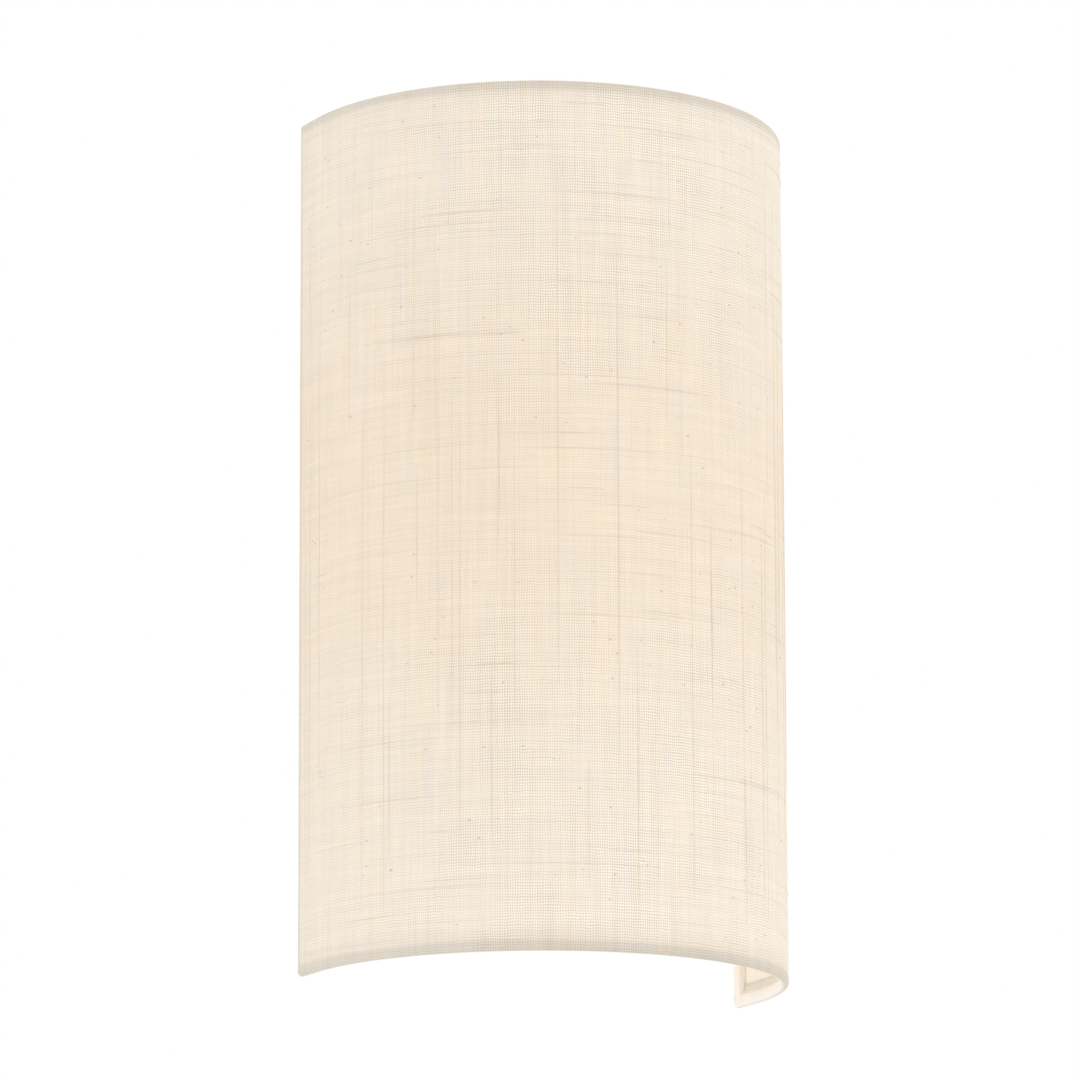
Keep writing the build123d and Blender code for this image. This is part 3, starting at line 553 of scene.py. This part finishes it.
    def through(self, work: Tree, lit: Socket) -> tuple[Socket, Socket]:
        """Light that comes through the cloth, painted as its glow: none at the wires, less at the hems, more
        inside.

        Args:
            work: the material's tree.
            lit: the share of the lamp's light.

        Returns:
            The light's level and the mask of the cloth's inner side.
        """
        x, y, z = work.xyz
        height = work.math("ABSOLUTE", z)
        level = work.math("MULTIPLY_ADD", lit, self.lamp_share, 1.0 - self.lamp_share)
        level = work.plus(level, work.ramp(z, *self.low_lift))
        layers = [(height, self.half_height, layer) for layer in self.rim_layers]
        layers += [(y, 0.0, layer) for layer in self.side_layers]
        for depth, edge, (start, stop, left) in layers:
            level = work.times(level, work.ramp(depth, edge + start, edge + stop, 1.0, left))
        ahead = work.math("MINIMUM", work.minus(y, self.arc_y), 0.0)
        across = work.plus(work.math("POWER", x, 2.0), work.math("POWER", ahead, 2.0))
        start, stop = (self.half_width + inset for inset in self.inner_side)
        inside = work.ramp(work.math("SQRT", across), start, stop, 1.0, 0.0)
        return work.math("MAXIMUM", level, work.times(inside, self.inside_level)), inside

    def tint(self, work: Tree, cloth: Socket, colour: Socket) -> Socket:
        """Adds faint streaks of warmer and greyer yarn along both directions.

        Args:
            work: the material's tree.
            cloth: the place on the flat cloth.
            colour: the cloth's colour.

        Returns:
            The colour with the streaks.
        """
        u, v, _ = work.split(cloth)
        for streak in self.streaks:
            lane = work.vector(work.times(u, streak.scale_u), work.times(v, streak.scale_v), streak.seed)
            share = work.ramp(work.noise(lane, scale=1.0), *self.streak_edge, 0.0, streak.most)
            colour = work.mix(share, colour, streak.tint)
        return colour

    def paint_rim_shade(self, work: Tree, inside: Socket, colour: Socket) -> Socket:
        """Paints shade on the rolled rims by darkening their colour, less towards the sides and inside.

        Args:
            work: the material's tree.
            inside: the mask of the cloth's inner side.
            colour: the cloth's colour.

        Returns:
            The colour with the painted shade.
        """
        x, _, z = work.xyz
        height = work.plus(work.math("ABSOLUTE", z), work.ramp(z, *self.lower_rim))
        rim = work.ramp(height, self.half_height - self.rim_from, self.half_height - self.rim_full)
        ahead = work.ramp(work.math("ABSOLUTE", x), *self.rim_sideways)
        rim = work.times(rim, ahead, work.minus(1.0, work.times(inside, self.rim_inside)))
        shaded = work.add("ShaderNodeVectorMath", {"operation": "MULTIPLY"}, i0=colour, i1=self.rim_painted_shade)
        return work.mix(rim, colour, shaded.outputs[0])


@dataclass(frozen=True)
class Slub:
    """Thicker and darker yarn of the linen."""

    name: str = "linen_slub"
    pale: Colour = (0.80, 0.73, 0.64)
    dark: Colour = (0.66, 0.58, 0.49)
    rough: float = 0.95
    glow: Colour = (1.0, 0.82, 0.62)
    glow_strength: float = 0.10
    fibre_scale: float = 2600.0
    fibre_share: float = 0.4
    patch_scale: float = 70.0
    patch_share: float = 0.6
    bump: float = 0.4
    bump_depth: float = 0.05 * MM

    def build(self) -> Material:
        """Mixes pale and dark fibres, with a painted glow of the lamp's light.

        Returns:
            The yarn's material.
        """
        material, work, shader = new_material(self.name)
        fibres = work.noise(work.place, self.fibre_scale, detail=3.0)
        patch = work.ramp(work.noise(work.place, self.patch_scale), low=0.35, high=0.7)
        share = work.math("MULTIPLY_ADD", fibres, self.fibre_share, work.times(patch, self.patch_share))
        # the yarn's emission is painted lamp light showing through it
        work.fill(
            shader, Base_Color=work.mix(share, self.pale, self.dark), Roughness=self.rough,
            Emission_Color=(*self.glow, 1.0), Emission_Strength=self.glow_strength,
        )
        work.bump(shader, fibres, self.bump, self.bump_depth)
        return material


@dataclass(frozen=True)
class LinerSheet:
    """White styrene liner, with the lamp's light painted on as glow."""

    name: str = "liner"
    colour: Colour = (0.90, 0.84, 0.74)
    glow: Colour = (1.0, 0.84, 0.66)
    strength: float = 0.24
    reach: float = 260.0 * MM
    rough: float = 0.55
    grain_scale: float = 1400.0
    grain: float = 0.05
    bump: float = 0.2
    bump_depth: float = 0.05 * MM

    def build(self) -> Material:
        """Paints the lamp's light on grained styrene as glow.

        Returns:
            The liner's material.
        """
        material, work, shader = new_material(self.name)
        colour, grain = grained(work, self.colour, self.grain_scale, self.grain)
        work.fill(
            shader, Base_Color=colour, Roughness=work.plus(grain["Rough"], self.rough),
            Emission_Color=work.scaled(self.glow, Linen().lit_mask(work, self.reach)),
            Emission_Strength=self.strength,
        )
        work.bump(shader, grain["Height"], self.bump, self.bump_depth)
        return material


FINISHES = {finish.name: finish for finish in (
    Finish("white_wire", (0.86, 0.86, 0.84), rough=0.38, grain=0.04, bump=0.15, wear=0.5),
    Finish("white_enamel", (0.84, 0.84, 0.82), rough=0.46, grain_scale=1900.0, bump=0.35, wear=0.6, coat=0.1,
           bump_depth=0.06 * MM),
    Finish("nylon", (0.80, 0.79, 0.74), worn=(0.88, 0.87, 0.82)),
    Finish("nickel", (0.76, 0.74, 0.70), rough=0.2, metal=1.0, grain=0.06, worn=(0.86, 0.84, 0.80)),
    Finish("zinc_steel", (0.66, 0.68, 0.70), rough=0.34, metal=1.0, grain=0.12, grain_scale=500.0),
    Finish("grommet_rubber", (0.035, 0.035, 0.037), rough=0.72, grain=0.2, bump=0.2, worn=(0.12, 0.12, 0.12)),
    Finish("block_plastic", (0.84, 0.83, 0.78), rough=0.42, worn=(0.9, 0.89, 0.86)),
    Finish("brass", (0.80, 0.60, 0.28), rough=0.3, metal=1.0, grain=0.16, grain_scale=420.0,
           worn=(0.95, 0.80, 0.48)),
    Finish("tinned_copper", (0.74, 0.71, 0.66), rough=0.36, metal=1.0, grain=0.12),
    Finish("earth_insulation", (0.10, 0.33, 0.05), rough=0.42, wear=0.1, stripe=(0.78, 0.66, 0.04)),
    Finish("live_insulation", (0.19, 0.075, 0.03), rough=0.42, grain=0.1, wear=0.1, worn=(0.3, 0.16, 0.1)),
    Finish("neutral_insulation", (0.04, 0.14, 0.46), rough=0.42, grain=0.1, wear=0.1, worn=(0.2, 0.3, 0.6)),
    Finish("holder_plastic", (0.85, 0.84, 0.80), rough=0.3, grain=0.03, coat=0.2, worn=(0.9, 0.9, 0.87)),
    Finish("porcelain", (0.87, 0.86, 0.82), rough=0.14, grain=0.03, coat=0.5, worn=(0.9, 0.9, 0.88)),
    Finish("solder", (0.62, 0.62, 0.62), rough=0.4, metal=1.0, grain=0.15, grain_scale=700.0),
    Finish("black_glass", (0.02, 0.02, 0.025), rough=0.12, grain=0.1, worn=(0.05, 0.05, 0.05)),
    Finish("lamp_cap_metal", (0.78, 0.78, 0.77), rough=0.28, metal=1.0, grain=0.08),
    Finish("lamp_plastic", (0.87, 0.87, 0.86), rough=0.4, grain=0.03, worn=(0.92, 0.92, 0.9)),
    Finish("board", (0.84, 0.84, 0.82), rough=0.45, grain=0.04),
    Finish("phosphor", (0.90, 0.68, 0.10), grain=0.12),
    Opal(),
    LinerSheet(),
    Linen(),
    Slub(),
    Slub("linen_nep", (0.72, 0.63, 0.52), (0.57, 0.49, 0.40), glow_strength=0.06),
)}


@cache
def material_named(name: str) -> Material:
    """Returns a finish's material, built the first time that it is asked for."""
    return FINISHES[name].build()


# ------------------------ cloth of the shade

@dataclass
class ShadeCloth:
    """The linen: one sheet rolled over both rings and both wall uprights."""

    half_width: float = field(default_factory=lambda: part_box("shade_fabric")[1][0])
    half_height: float = field(default_factory=lambda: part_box("shade_fabric")[1][2])
    edge_y: float = field(default_factory=lambda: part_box("shade_fabric")[1][1])
    return_depth: float = 13.0 * MM
    thickness: float = 0.36 * MM
    roll_radius: float = 1.6 * MM
    roll_end: float = radians(205.0)
    leg_inset: float = 1.2 * MM
    settle_run: float = 4.0 * MM
    rim_hem: float = 8.0 * MM
    end_hem: float = 6.0 * MM
    lap_lift: float = 1.1  # thicknesses that an end hem stands off where it laps a rim's
    lap_ease: float = 2.0 * MM
    strap_z: float = 105.0 * MM
    window_half: float = 7.0 * MM
    window_from: float = 0.6  # share of the roll after which a strap's window is open
    groove_depth: float = 0.2 * MM
    groove_width: float = 0.8 * MM
    groove_below: float = 2.4 * MM
    ripple: float = 0.07 * MM
    ripple_ease: float = 6.0 * MM
    row_step: float = 2.8 * MM
    window_row_step: float = 2.4 * MM
    rim_row_step: float = 0.5 * MM
    rim_rows: float = 6.0 * MM
    arc_steps: int = 108
    side_steps: int = 8
    roll_steps: int = 12
    settle_steps: int = 6
    corner_steps: int = 6
    merge: float = 0.001 * MM

    def __post_init__(self) -> None:
        """Works out the places that follow from the sizes."""
        self.arc_y = self.edge_y - self.return_depth
        self.wire_x = self.half_width - self.roll_radius
        self.wire_y = self.edge_y - self.roll_radius
        self.wire_z = self.half_height - self.roll_radius
        self.arc_run = pi * self.half_width / 2
        self.half_run = self.arc_run - self.arc_y + self.wire_y
        self.points = {}
        self.mesh = bmesh.new()
        self.layer = self.mesh.loops.layers.uv.new(CLOTH_MAP)

    def hem_path(self, hem: float) -> Path:
        """Path of the cloth's right side over a wire and back down the liner.

        Args:
            hem: depth of the hem from the outside of the roll.

        Returns:
            (inset, advance, run) for each point: inset from the cloth's face, advance
            past the wire's axis, and run of cloth since the axis.
        """
        radius = self.roll_radius
        turns = [pi * step / self.roll_steps for step in range(1, self.roll_steps + 1)] + [self.roll_end]
        path = [(0.0, 0.0, 0.0)]
        path += [(radius - radius * cos(angle), radius * sin(angle), radius * angle) for angle in turns]
        first, top, _ = path[-1]
        end = radius - hem
        settle = max(top - self.settle_run, end)
        for step in range(1, self.settle_steps + 1):
            share = step / self.settle_steps
            ease = share * share * (3 - 2 * share)
            inset, advance = first + (self.leg_inset - first) * ease, top + (settle - top) * share
            last = path[-1]
            path.append((inset, advance, last[2] + hypot(inset - last[0], advance - last[1])))
        if end < settle:
            path.append((self.leg_inset, end, path[-1][2] + settle - end))
        return path

    def levels(self) -> list[float]:
        """Spaces the face's rows, closer at the straps and rims.

        Returns:
            The heights of the rows, from one wire's axis to the other's.
        """
        low, high = self.strap_z - self.window_half, self.strap_z + self.window_half
        close = self.wire_z - self.rim_rows
        half = []
        for start, stop, step in (
            (0.0, low, self.row_step), (low, high, self.window_row_step),
            (high, close, self.row_step), (close, self.wire_z, self.rim_row_step),
        ):
            count = round((stop - start) / step)
            half += [start + (stop - start) * index / count for index in range(count)]
        half.append(self.wire_z)
        return [-value for value in reversed(half[1:])] + half

    def columns(self) -> list[tuple[float, Vector, Vector]]:
        """Spaces the face's columns along the plan, from the left wire to the right.

        Returns:
            (run, face point, outward normal) for each column.
        """
        side = self.wire_y - self.arc_y
        flanks = {-1: [], 1: []}
        for way, flank in flanks.items():
            for step in range(1, self.side_steps + 1):
                run = side * step / self.side_steps
                place = Vector((way * self.half_width, self.arc_y + run, 0))
                flank.append((way * (self.arc_run + run), place, Vector((way, 0, 0))))
        arc = []
        for step in range(self.arc_steps + 1):
            angle = -pi / 2 + pi * step / self.arc_steps
            normal = Vector((sin(angle), -cos(angle), 0))
            place = Vector((0, self.arc_y, 0)) + normal * self.half_width
            arc.append((angle * self.half_width, place, normal))
        return flanks[-1][::-1] + arc + flanks[1]

    def relief(self, run: float, height: float) -> float:
        """Inset of the face: the groove below each ring and a faint ripple.

        Args:
            run: place round the flat cloth.
            height: height on the cloth.

        Returns:
            How far the face lies in.
        """
        below = abs(height) - (self.wire_z - self.groove_below)
        groove = self.groove_depth * exp(-((below / self.groove_width) ** 2))
        fade = clamped((self.wire_z - abs(height)) / self.ripple_ease)
        edge = clamped((self.half_run - abs(run)) / self.ripple_ease)
        # two long waves that bend each other and two short slanted ones, in radians a metre
        waves = sin(run * 61 + 1.7 * sin(height * 23)) + sin(height * 47 + 2.1 * sin(run * 31) + 0.8)
        short = 0.6
        waves += short * sin(run * 143 + height * 37) + short * sin(height * 171 - run * 53 + 1.9)
        most = 2 + 2 * short
        return edge * (groove + fade * self.ripple * (waves + most) / (2 * most))

    def vertex(self, place: Vector, uv: tuple[float, float]) -> BMVert:
        """Adds a vertex.

        Args:
            place: where it stands.
            uv: its place on the flat cloth.

        Returns:
            The vertex.
        """
        vert = self.mesh.verts.new(place)
        self.points[vert] = uv
        return vert

    def skin(self, rows: list[Row], holes: Collection[tuple[int, int]] = ()) -> None:
        """Joins rows of vertices with quads.

        Args:
            rows: the rows of vertices.
            holes: the (row, column) cells to leave out.
        """
        for row, (low, high) in enumerate(zip(rows, rows[1:])):
            for column in range(len(low) - 1):
                ring = [low[column], low[column + 1], high[column + 1], high[column]]
                spots = {tuple(round(value, 7) for value in vert.co) for vert in ring}
                if (row, column) in holes or len(spots) < 3:
                    continue
                for loop in self.mesh.faces.new(ring).loops:
                    loop[self.layer].uv = self.points[loop.vert]

    def build(self) -> Object:
        """Builds the sheet and gives it its thickness.

        Returns:
            The sheet.
        """
        levels = self.levels()
        self.skin(self.face_rows(levels))
        for side in (-1, 1):
            self.wall_edge(side, levels)
            for up in (-1, 1):
                self.corner(side, up)
        bmesh.ops.remove_doubles(self.mesh, verts=self.mesh.verts, dist=self.merge)
        bmesh.ops.recalc_face_normals(self.mesh, faces=self.mesh.faces)
        data = bpy.data.meshes.new("linen_shade")
        self.mesh.to_mesh(data)
        piece = add_object("linen_shade", data)
        front = min(data.polygons, key=lambda face: face.center.y)
        if front.normal.y > 0:
            data.flip_normals()
        data.shade_smooth()
        data.materials.append(material_named("linen"))
        solid = piece.modifiers.new("Thickness", "SOLIDIFY")
        solid.thickness = self.thickness
        solid.offset = -1.0
        return piece

    def face_rows(self, levels: list[float]) -> list[Row]:
        """Adds the vertices of the face and of both rims' rolls.

        Args:
            levels: heights of the face's rows.

        Returns:
            The rows, from the lower hem's end to the upper one's.
        """
        columns, rim = self.columns(), self.hem_path(self.rim_hem)
        rolls = {}
        for up in (-1, 1):
            rolls[up] = []
            for inset, advance, run in rim[1:]:
                rise, spot = Vector((0, 0, up * (self.wire_z + advance))), up * (self.wire_z + run)
                rolls[up].append([
                    self.vertex(place - normal * inset + rise, (along, spot))
                    for along, place, normal in columns
                ])
        middle = []
        for height in levels:
            row = []
            for along, place, normal in columns:
                face = place - normal * self.relief(along, height) + Vector((0, 0, height))
                row.append(self.vertex(face, (along, height)))
            middle.append(row)
        return list(reversed(rolls[-1])) + middle + rolls[1]

    def wall_edge(self, side: int, levels: list[float]) -> None:
        """Rolls the cloth round one upright and back along the liner, with the straps' windows.

        Args:
            side: -1 for the left upright and 1 for the right.
            levels: heights of the rows.
        """
        path = self.hem_path(self.end_hem)
        rows = []
        for height in levels:
            over = clamped((abs(height) - (self.half_height - self.rim_hem - self.lap_ease)) / self.lap_ease)
            line = []
            for index, (inset, advance, run) in enumerate(path):
                lap = self.thickness * self.lap_lift * over if index > self.roll_steps else 0.0
                place = Vector((side * (self.half_width - inset - lap), self.wire_y + advance, height))
                line.append(self.vertex(place, (side * (self.half_run + run), height)))
            rows.append(line)
        roof = self.wire_z - self.roll_radius
        holes = set()
        for row in range(len(rows) - 1):
            middle = abs(levels[row] + levels[row + 1]) / 2
            first = self.roll_steps if middle > roof else len(path)
            if abs(middle - self.strap_z) < self.window_half:
                first = ceil(self.roll_steps * self.window_from)
            holes |= {(row, column) for column in range(first, len(path) - 1)}
        self.skin(rows, holes)

    def corner(self, side: int, up: int) -> None:
        """Closes the cloth over the corner of a ring and an upright with part of a ball.

        Args:
            side: -1 for the left corner and 1 for the right.
            up: -1 for the lower corner and 1 for the upper.
        """
        centre = Vector((side * self.wire_x, self.wire_y, up * self.wire_z))
        radius = self.roll_radius
        rows = []
        for turn in range(self.corner_steps + 1):
            swing = pi / 2 * turn / self.corner_steps
            line = []
            for step in range(self.roll_steps + 1):
                angle = pi * step / self.roll_steps
                way = Vector((side * cos(angle), sin(angle) * sin(swing), up * sin(angle) * cos(swing)))
                run = radius * angle
                uv = (side * (self.half_run + run * sin(swing)), up * (self.wire_z + run * cos(swing)))
                line.append(self.vertex(centre + way * radius, uv))
            rows.append(line)
        self.skin(rows)

    def flat_size(self) -> tuple[float, float]:
        """Works out the flat cloth, with its hems.

        Returns:
            Width and height that the cloth was cut to.
        """
        return (
            2 * (self.half_run + self.hem_path(self.end_hem)[-1][2]),
            2 * (self.wire_z + self.hem_path(self.rim_hem)[-1][2]),
        )


# ------------------------ slubs and neps of the linen

class Lay(Enum):
    """Direction of a yarn on the cloth."""

    WARP = 1
    WEFT = 2


@dataclass
class SlubYarns:
    """Thick yarns and knots that stand a little proud of the weave."""

    cloth: ShadeCloth
    count: int
    lay: Lay
    shortest: float
    longest: float
    radius: float
    seed: int
    name: str
    finish: str = "linen_slub"
    side_margin: float = 3.0 * MM
    rim_margin: float = 4.0 * MM
    length_seed: float = 7.0
    girth_seed: float = 13.0
    thinnest: float = 0.6
    thickest: float = 1.3
    sides: int = 5
    segments: int = 9
    taper_angle: float = pi * 0.97
    taper_power: float = 0.6

    def build(self) -> Object:
        """Makes the yarns with a Geometry Nodes tree and turns them into a plain mesh.

        Returns:
            The yarns as one piece.
        """
        piece = add_object(self.name, bpy.data.meshes.new(self.name))
        modifier = piece.modifiers.new("Slubs", "NODES")
        values = {
            "Count": self.count, "Seed": self.seed,
            "Half Run": self.cloth.half_run - self.side_margin,
            "Half Height": self.cloth.wire_z - self.rim_margin,
            "Shortest": self.shortest, "Longest": self.longest, "Radius": self.radius,
            "Face Radius": self.cloth.half_width, "Arc Y": self.cloth.arc_y,
        }
        modifier.node_group = self.tree(values)
        for item in modifier.node_group.interface.items_tree:
            if item.in_out == "INPUT":
                modifier[item.identifier] = values[item.name]
        return plain_mesh(piece)

    def tree(self, values: dict[str, float]) -> NodeTree:
        """Builds the tree: yarns scattered on the flat cloth, then wrapped on the half round.

        Args:
            values: the inputs' names and values.

        Returns:
            The tree.
        """
        tree = bpy.data.node_groups.new(self.name, "GeometryNodeTree")
        for label, value in values.items():
            kind = "NodeSocketInt" if isinstance(value, int) else "NodeSocketFloat"
            tree.interface.new_socket(label, in_out="INPUT", socket_type=kind)
        tree.interface.new_socket("Geometry", in_out="OUTPUT", socket_type="NodeSocketGeometry")
        tree.is_modifier = True
        work = Tree(tree)
        given = work.given
        length = self.random(work, self.length_seed, given["Shortest"], given["Longest"])
        thin, thick = (work.times(given["Radius"], share) for share in (self.thinnest, self.thickest))
        girth = self.random(work, self.girth_seed, thin, thick)
        unit = {"i0": (-1.0, -1.0, 0.0), "i1": (1.0, 1.0, 0.0)}
        spot = work.add("FunctionNodeRandomValue", {"data_type": "FLOAT_VECTOR"}, Seed=given["Seed"], **unit)
        room = work.times(length, -0.5)
        flat = self.lay is Lay.WEFT
        limits = [work.plus(given[name], room) if turned else given[name]
                  for name, turned in (("Half Run", flat), ("Half Height", not flat))]
        spread = {"i0": spot.outputs[0], "i1": work.vector(*limits, 0.0)}
        spot = work.add("ShaderNodeVectorMath", {"operation": "MULTIPLY"}, **spread)
        points = work.add("GeometryNodePoints", Count=given["Count"], Position=spot.outputs[0])
        placed = work.add(
            "GeometryNodeInstanceOnPoints", Points=points.outputs[0], Instance=self.yarn(work),
            Rotation=(0.0, 0.0, 0.0 if flat else pi / 2), Scale=work.vector(length, girth, girth),
        )
        real = work.add("GeometryNodeRealizeInstances", Geometry=placed.outputs[0])
        wrapped = work.add("GeometryNodeSetPosition", Geometry=real.outputs[0], Position=self.wrapped(work))
        finish = material_named(self.finish)
        dressed = work.add("GeometryNodeSetMaterial", Geometry=wrapped.outputs[0], Material=finish)
        work.add("NodeGroupOutput", Geometry=dressed.outputs[0])
        return tree

    def random(self, work: Tree, seed: float, least: Socket, most: Socket) -> Socket:
        """Draws one value for each yarn, with a seed that is added to the group's."""
        draw = {"Seed": work.plus(work.given["Seed"], seed), "i2": least, "i3": most}
        return work.add("FunctionNodeRandomValue", {"data_type": "FLOAT"}, **draw).outputs[1]

    def yarn(self, work: Tree) -> Socket:
        """Makes one yarn.

        Args:
            work: the tree.

        Returns:
            A closed spindle of unit length along X and unit radius in its middle.
        """
        size = {"Vertices": self.sides, "Side_Segments": self.segments, "Radius": 1.0, "Depth": 1.0}
        tube = work.add("GeometryNodeMeshCylinder", {"fill_type": "NGON"}, **size)
        x, y, z = work.split(work.add("GeometryNodeInputPosition").outputs[0])
        taper = work.math("MAXIMUM", work.math("COSINE", work.times(z, self.taper_angle)), 0.0)
        slim = work.math("POWER", taper, self.taper_power)
        shaped = work.vector(z, work.times(x, slim), work.times(y, slim))
        return work.add("GeometryNodeSetPosition", Geometry=tube.outputs[0], Position=shaped).outputs[0]

    def wrapped(self, work: Tree) -> Socket:
        """Carries a place on the flat cloth (run, height, proud) to the half-round face.

        Args:
            work: the tree.

        Returns:
            The place on the face.
        """
        run, height, proud = work.split(work.add("GeometryNodeInputPosition").outputs[0])
        radius = work.given["Face Radius"]
        arc_run = work.times(radius, pi / 2)
        bound = work.math("MINIMUM", work.math("MAXIMUM", run, work.times(arc_run, -1.0)), arc_run)
        angle = work.math("DIVIDE", bound, radius)
        beyond = work.minus(work.math("ABSOLUTE", run), work.math("ABSOLUTE", bound))
        out = work.plus(radius, proud)
        x = work.times(work.math("SINE", angle), out)
        y = work.minus(work.given["Arc Y"], work.times(work.math("COSINE", angle), out))
        return work.vector(x, work.plus(y, beyond), height)


def plain_mesh(piece: Object) -> Object:
    """Replaces a piece's mesh by what its modifiers make, and removes them.

    Args:
        piece: the piece.

    Returns:
        The same piece.
    """
    graph = bpy.context.evaluated_depsgraph_get()
    made = bpy.data.meshes.new_from_object(piece.evaluated_get(graph))
    piece.modifiers.clear()
    piece.data = made
    made.name = piece.name
    made.shade_smooth()
    return piece


# ------------------------ dressing of the frame

@dataclass
class Dresser:
    """Gives each kept CAD node the finish of its material slot."""

    kept_off: tuple[str, ...] = ("shade_fabric",)

    def build(self) -> int:
        """Dresses the nodes.

        Returns:
            How many there were.
        """
        slots = {part["node"]: part["material_slot"] for part in frame["record"]["subparts"]}
        pieces = {node: piece for node, piece in frame["nodes"].items() if node not in self.kept_off}
        for node, piece in pieces.items():
            piece.data.materials.clear()
            piece.data.materials.append(material_named(slots[node]))
        return len(pieces)


# ------------------------ studio

@dataclass(frozen=True)
class SoftLight:
    """One soft square light that looks at the wall light."""

    name: str
    place: tuple[float, float, float]
    size: float
    power: float
    colour: Colour
    target: tuple[float, float, float] = (0, -0.05, 0)

    def build(self) -> None:
        """Hangs the light and turns it to its target."""
        data = bpy.data.lights.new(self.name, "AREA")
        data.size, data.energy, data.color = self.size, self.power, self.colour
        light = add_object(self.name, data)
        way = Vector(self.target) - Vector(self.place)
        light.rotation_mode = "QUATERNION"
        light.rotation_quaternion = way.to_track_quat("-Z", "Y")
        light.location = self.place


@dataclass
class Studio:
    """Plain pale floor, soft light, white background and the photograph's camera."""

    eye: Vector = field(default_factory=lambda: Vector((-1.1028, -2.1771, -0.5131)))
    yaw: float = radians(27.03)
    pitch: float = radians(12.105)
    roll: float = radians(-0.192)
    lens: float = 237.4
    sensor: float = 36.0
    clip: tuple[float, float] = (0.05, 60.0)
    floor_z: float = -0.75
    floor_size: float = 6.0
    floor_tone: float = 0.9
    floor_rough: float = 0.9
    ambient: float = 0.82
    ambient_colour: Colour = (1.0, 0.99, 0.97)
    lights: tuple[SoftLight, ...] = (
        SoftLight("key", (1.85, -1.9, 0.95), 1.6, 13.6, (0.95, 0.975, 1.0)),
        SoftLight("fill", (-2.4, -0.9, 0.1), 1.8, 8.0, (1.0, 0.99, 0.98)),
        SoftLight("back", (0.4, 1.9, 0.9), 1.6, 6.0, (1.0, 0.99, 0.97)),
    )

    def build(self) -> None:
        """Builds the studio."""
        self.camera()
        self.floor()
        self.world()
        for light in self.lights:
            light.build()

    def camera(self) -> None:
        """Sets the camera up at the photograph's angle."""
        data = bpy.data.cameras.new("camera")
        data.sensor_width = self.sensor
        data.lens = self.lens
        data.clip_start, data.clip_end = self.clip
        camera = add_object("camera", data)
        ahead = Vector((sin(self.yaw) * cos(self.pitch), cos(self.yaw) * cos(self.pitch), sin(self.pitch)))
        right = Vector((cos(self.yaw), -sin(self.yaw), 0))
        up = right.cross(ahead)
        across = cos(self.roll) * right + sin(self.roll) * up
        above = -sin(self.roll) * right + cos(self.roll) * up
        turn = Matrix((across, above, -ahead)).transposed()
        camera.matrix_world = Matrix.Translation(self.eye) @ turn.to_4x4()
        bpy.context.scene.camera = camera

    def floor(self) -> None:
        """Lays the floor, which is see-through from below."""
        mesh = bmesh.new()
        bmesh.ops.create_grid(mesh, x_segments=1, y_segments=1, size=self.floor_size)
        data = bpy.data.meshes.new("floor")
        mesh.to_mesh(data)
        mesh.free()
        data.transform(Matrix.Translation((0, 0, self.floor_z)))
        floor = add_object("floor", data)
        material, work, shader = new_material("floor")
        work.fill(shader, Base_Color=(*[self.floor_tone] * 3, 1.0), Roughness=self.floor_rough)
        clear = work.add("ShaderNodeBsdfTransparent")
        behind = work.add("ShaderNodeNewGeometry").outputs["Backfacing"]
        both = work.add("ShaderNodeMixShader", i0=behind, i1=shader.outputs[0], i2=clear.outputs[0])
        output = next(node for node in work.tree.nodes if node.type == "OUTPUT_MATERIAL")
        work.fill(output, Surface=both.outputs[0])
        data.materials.append(material)

    def world(self) -> None:
        """Fills the room with even light and shows white to the camera."""
        world = bpy.data.worlds.new("studio")
        bpy.context.scene.world = world
        world.use_nodes = True
        world.node_tree.nodes.clear()
        work = Tree(world.node_tree)
        path = work.add("ShaderNodeLightPath").outputs
        seen = work.math("MAXIMUM", path["Is Camera Ray"], path["Is Glossy Ray"])
        seen = work.math("MAXIMUM", seen, path["Is Transmission Ray"])
        light = work.add("ShaderNodeBackground", Color=(*self.ambient_colour, 1.0), Strength=self.ambient)
        white = work.add("ShaderNodeBackground", Color=(1.0, 1.0, 1.0, 1.0), Strength=1.0)
        both = work.add("ShaderNodeMixShader", i0=seen, i1=light.outputs[0], i2=white.outputs[0])
        work.add("ShaderNodeOutputWorld", Surface=both.outputs[0])


# ------------------------ the whole light

def build_shade() -> None:
    """Builds the cloth and its slubs, and hangs them on the shade's body."""
    cloth = ShadeCloth()
    sheet = cloth.build()
    yarns = [
        SlubYarns(cloth, 110, Lay.WEFT, 8 * MM, 70 * MM, 0.12 * MM, 5, "slubs_across").build(),
        SlubYarns(cloth, 52, Lay.WARP, 35 * MM, 190 * MM, 0.115 * MM, 17, "slubs_upright").build(),
        SlubYarns(cloth, 190, Lay.WEFT, 0.5 * MM, 1.2 * MM, 0.23 * MM, 29, "neps", "linen_nep").build(),
    ]
    for piece in (sheet, *yarns):
        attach(piece, "shade")
    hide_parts("shade_fabric")
    cloth.flat_size()
    LOG.info("linen shade: cut %.0f x %.0f mm", *(side / MM for side in cloth.flat_size()))


def main() -> None:
    """Builds the light piece by piece and reports each."""
    logging.basicConfig(level=logging.INFO, format="%(message)s")
    bpy.context.scene.view_settings.view_transform = "Standard"
    Studio().build()
    LOG.info("studio: camera, floor, world and three soft lights")
    LOG.info("frame: %d nodes dressed", Dresser().build())
    build_shade()


if __name__ == "__main__":
    main()
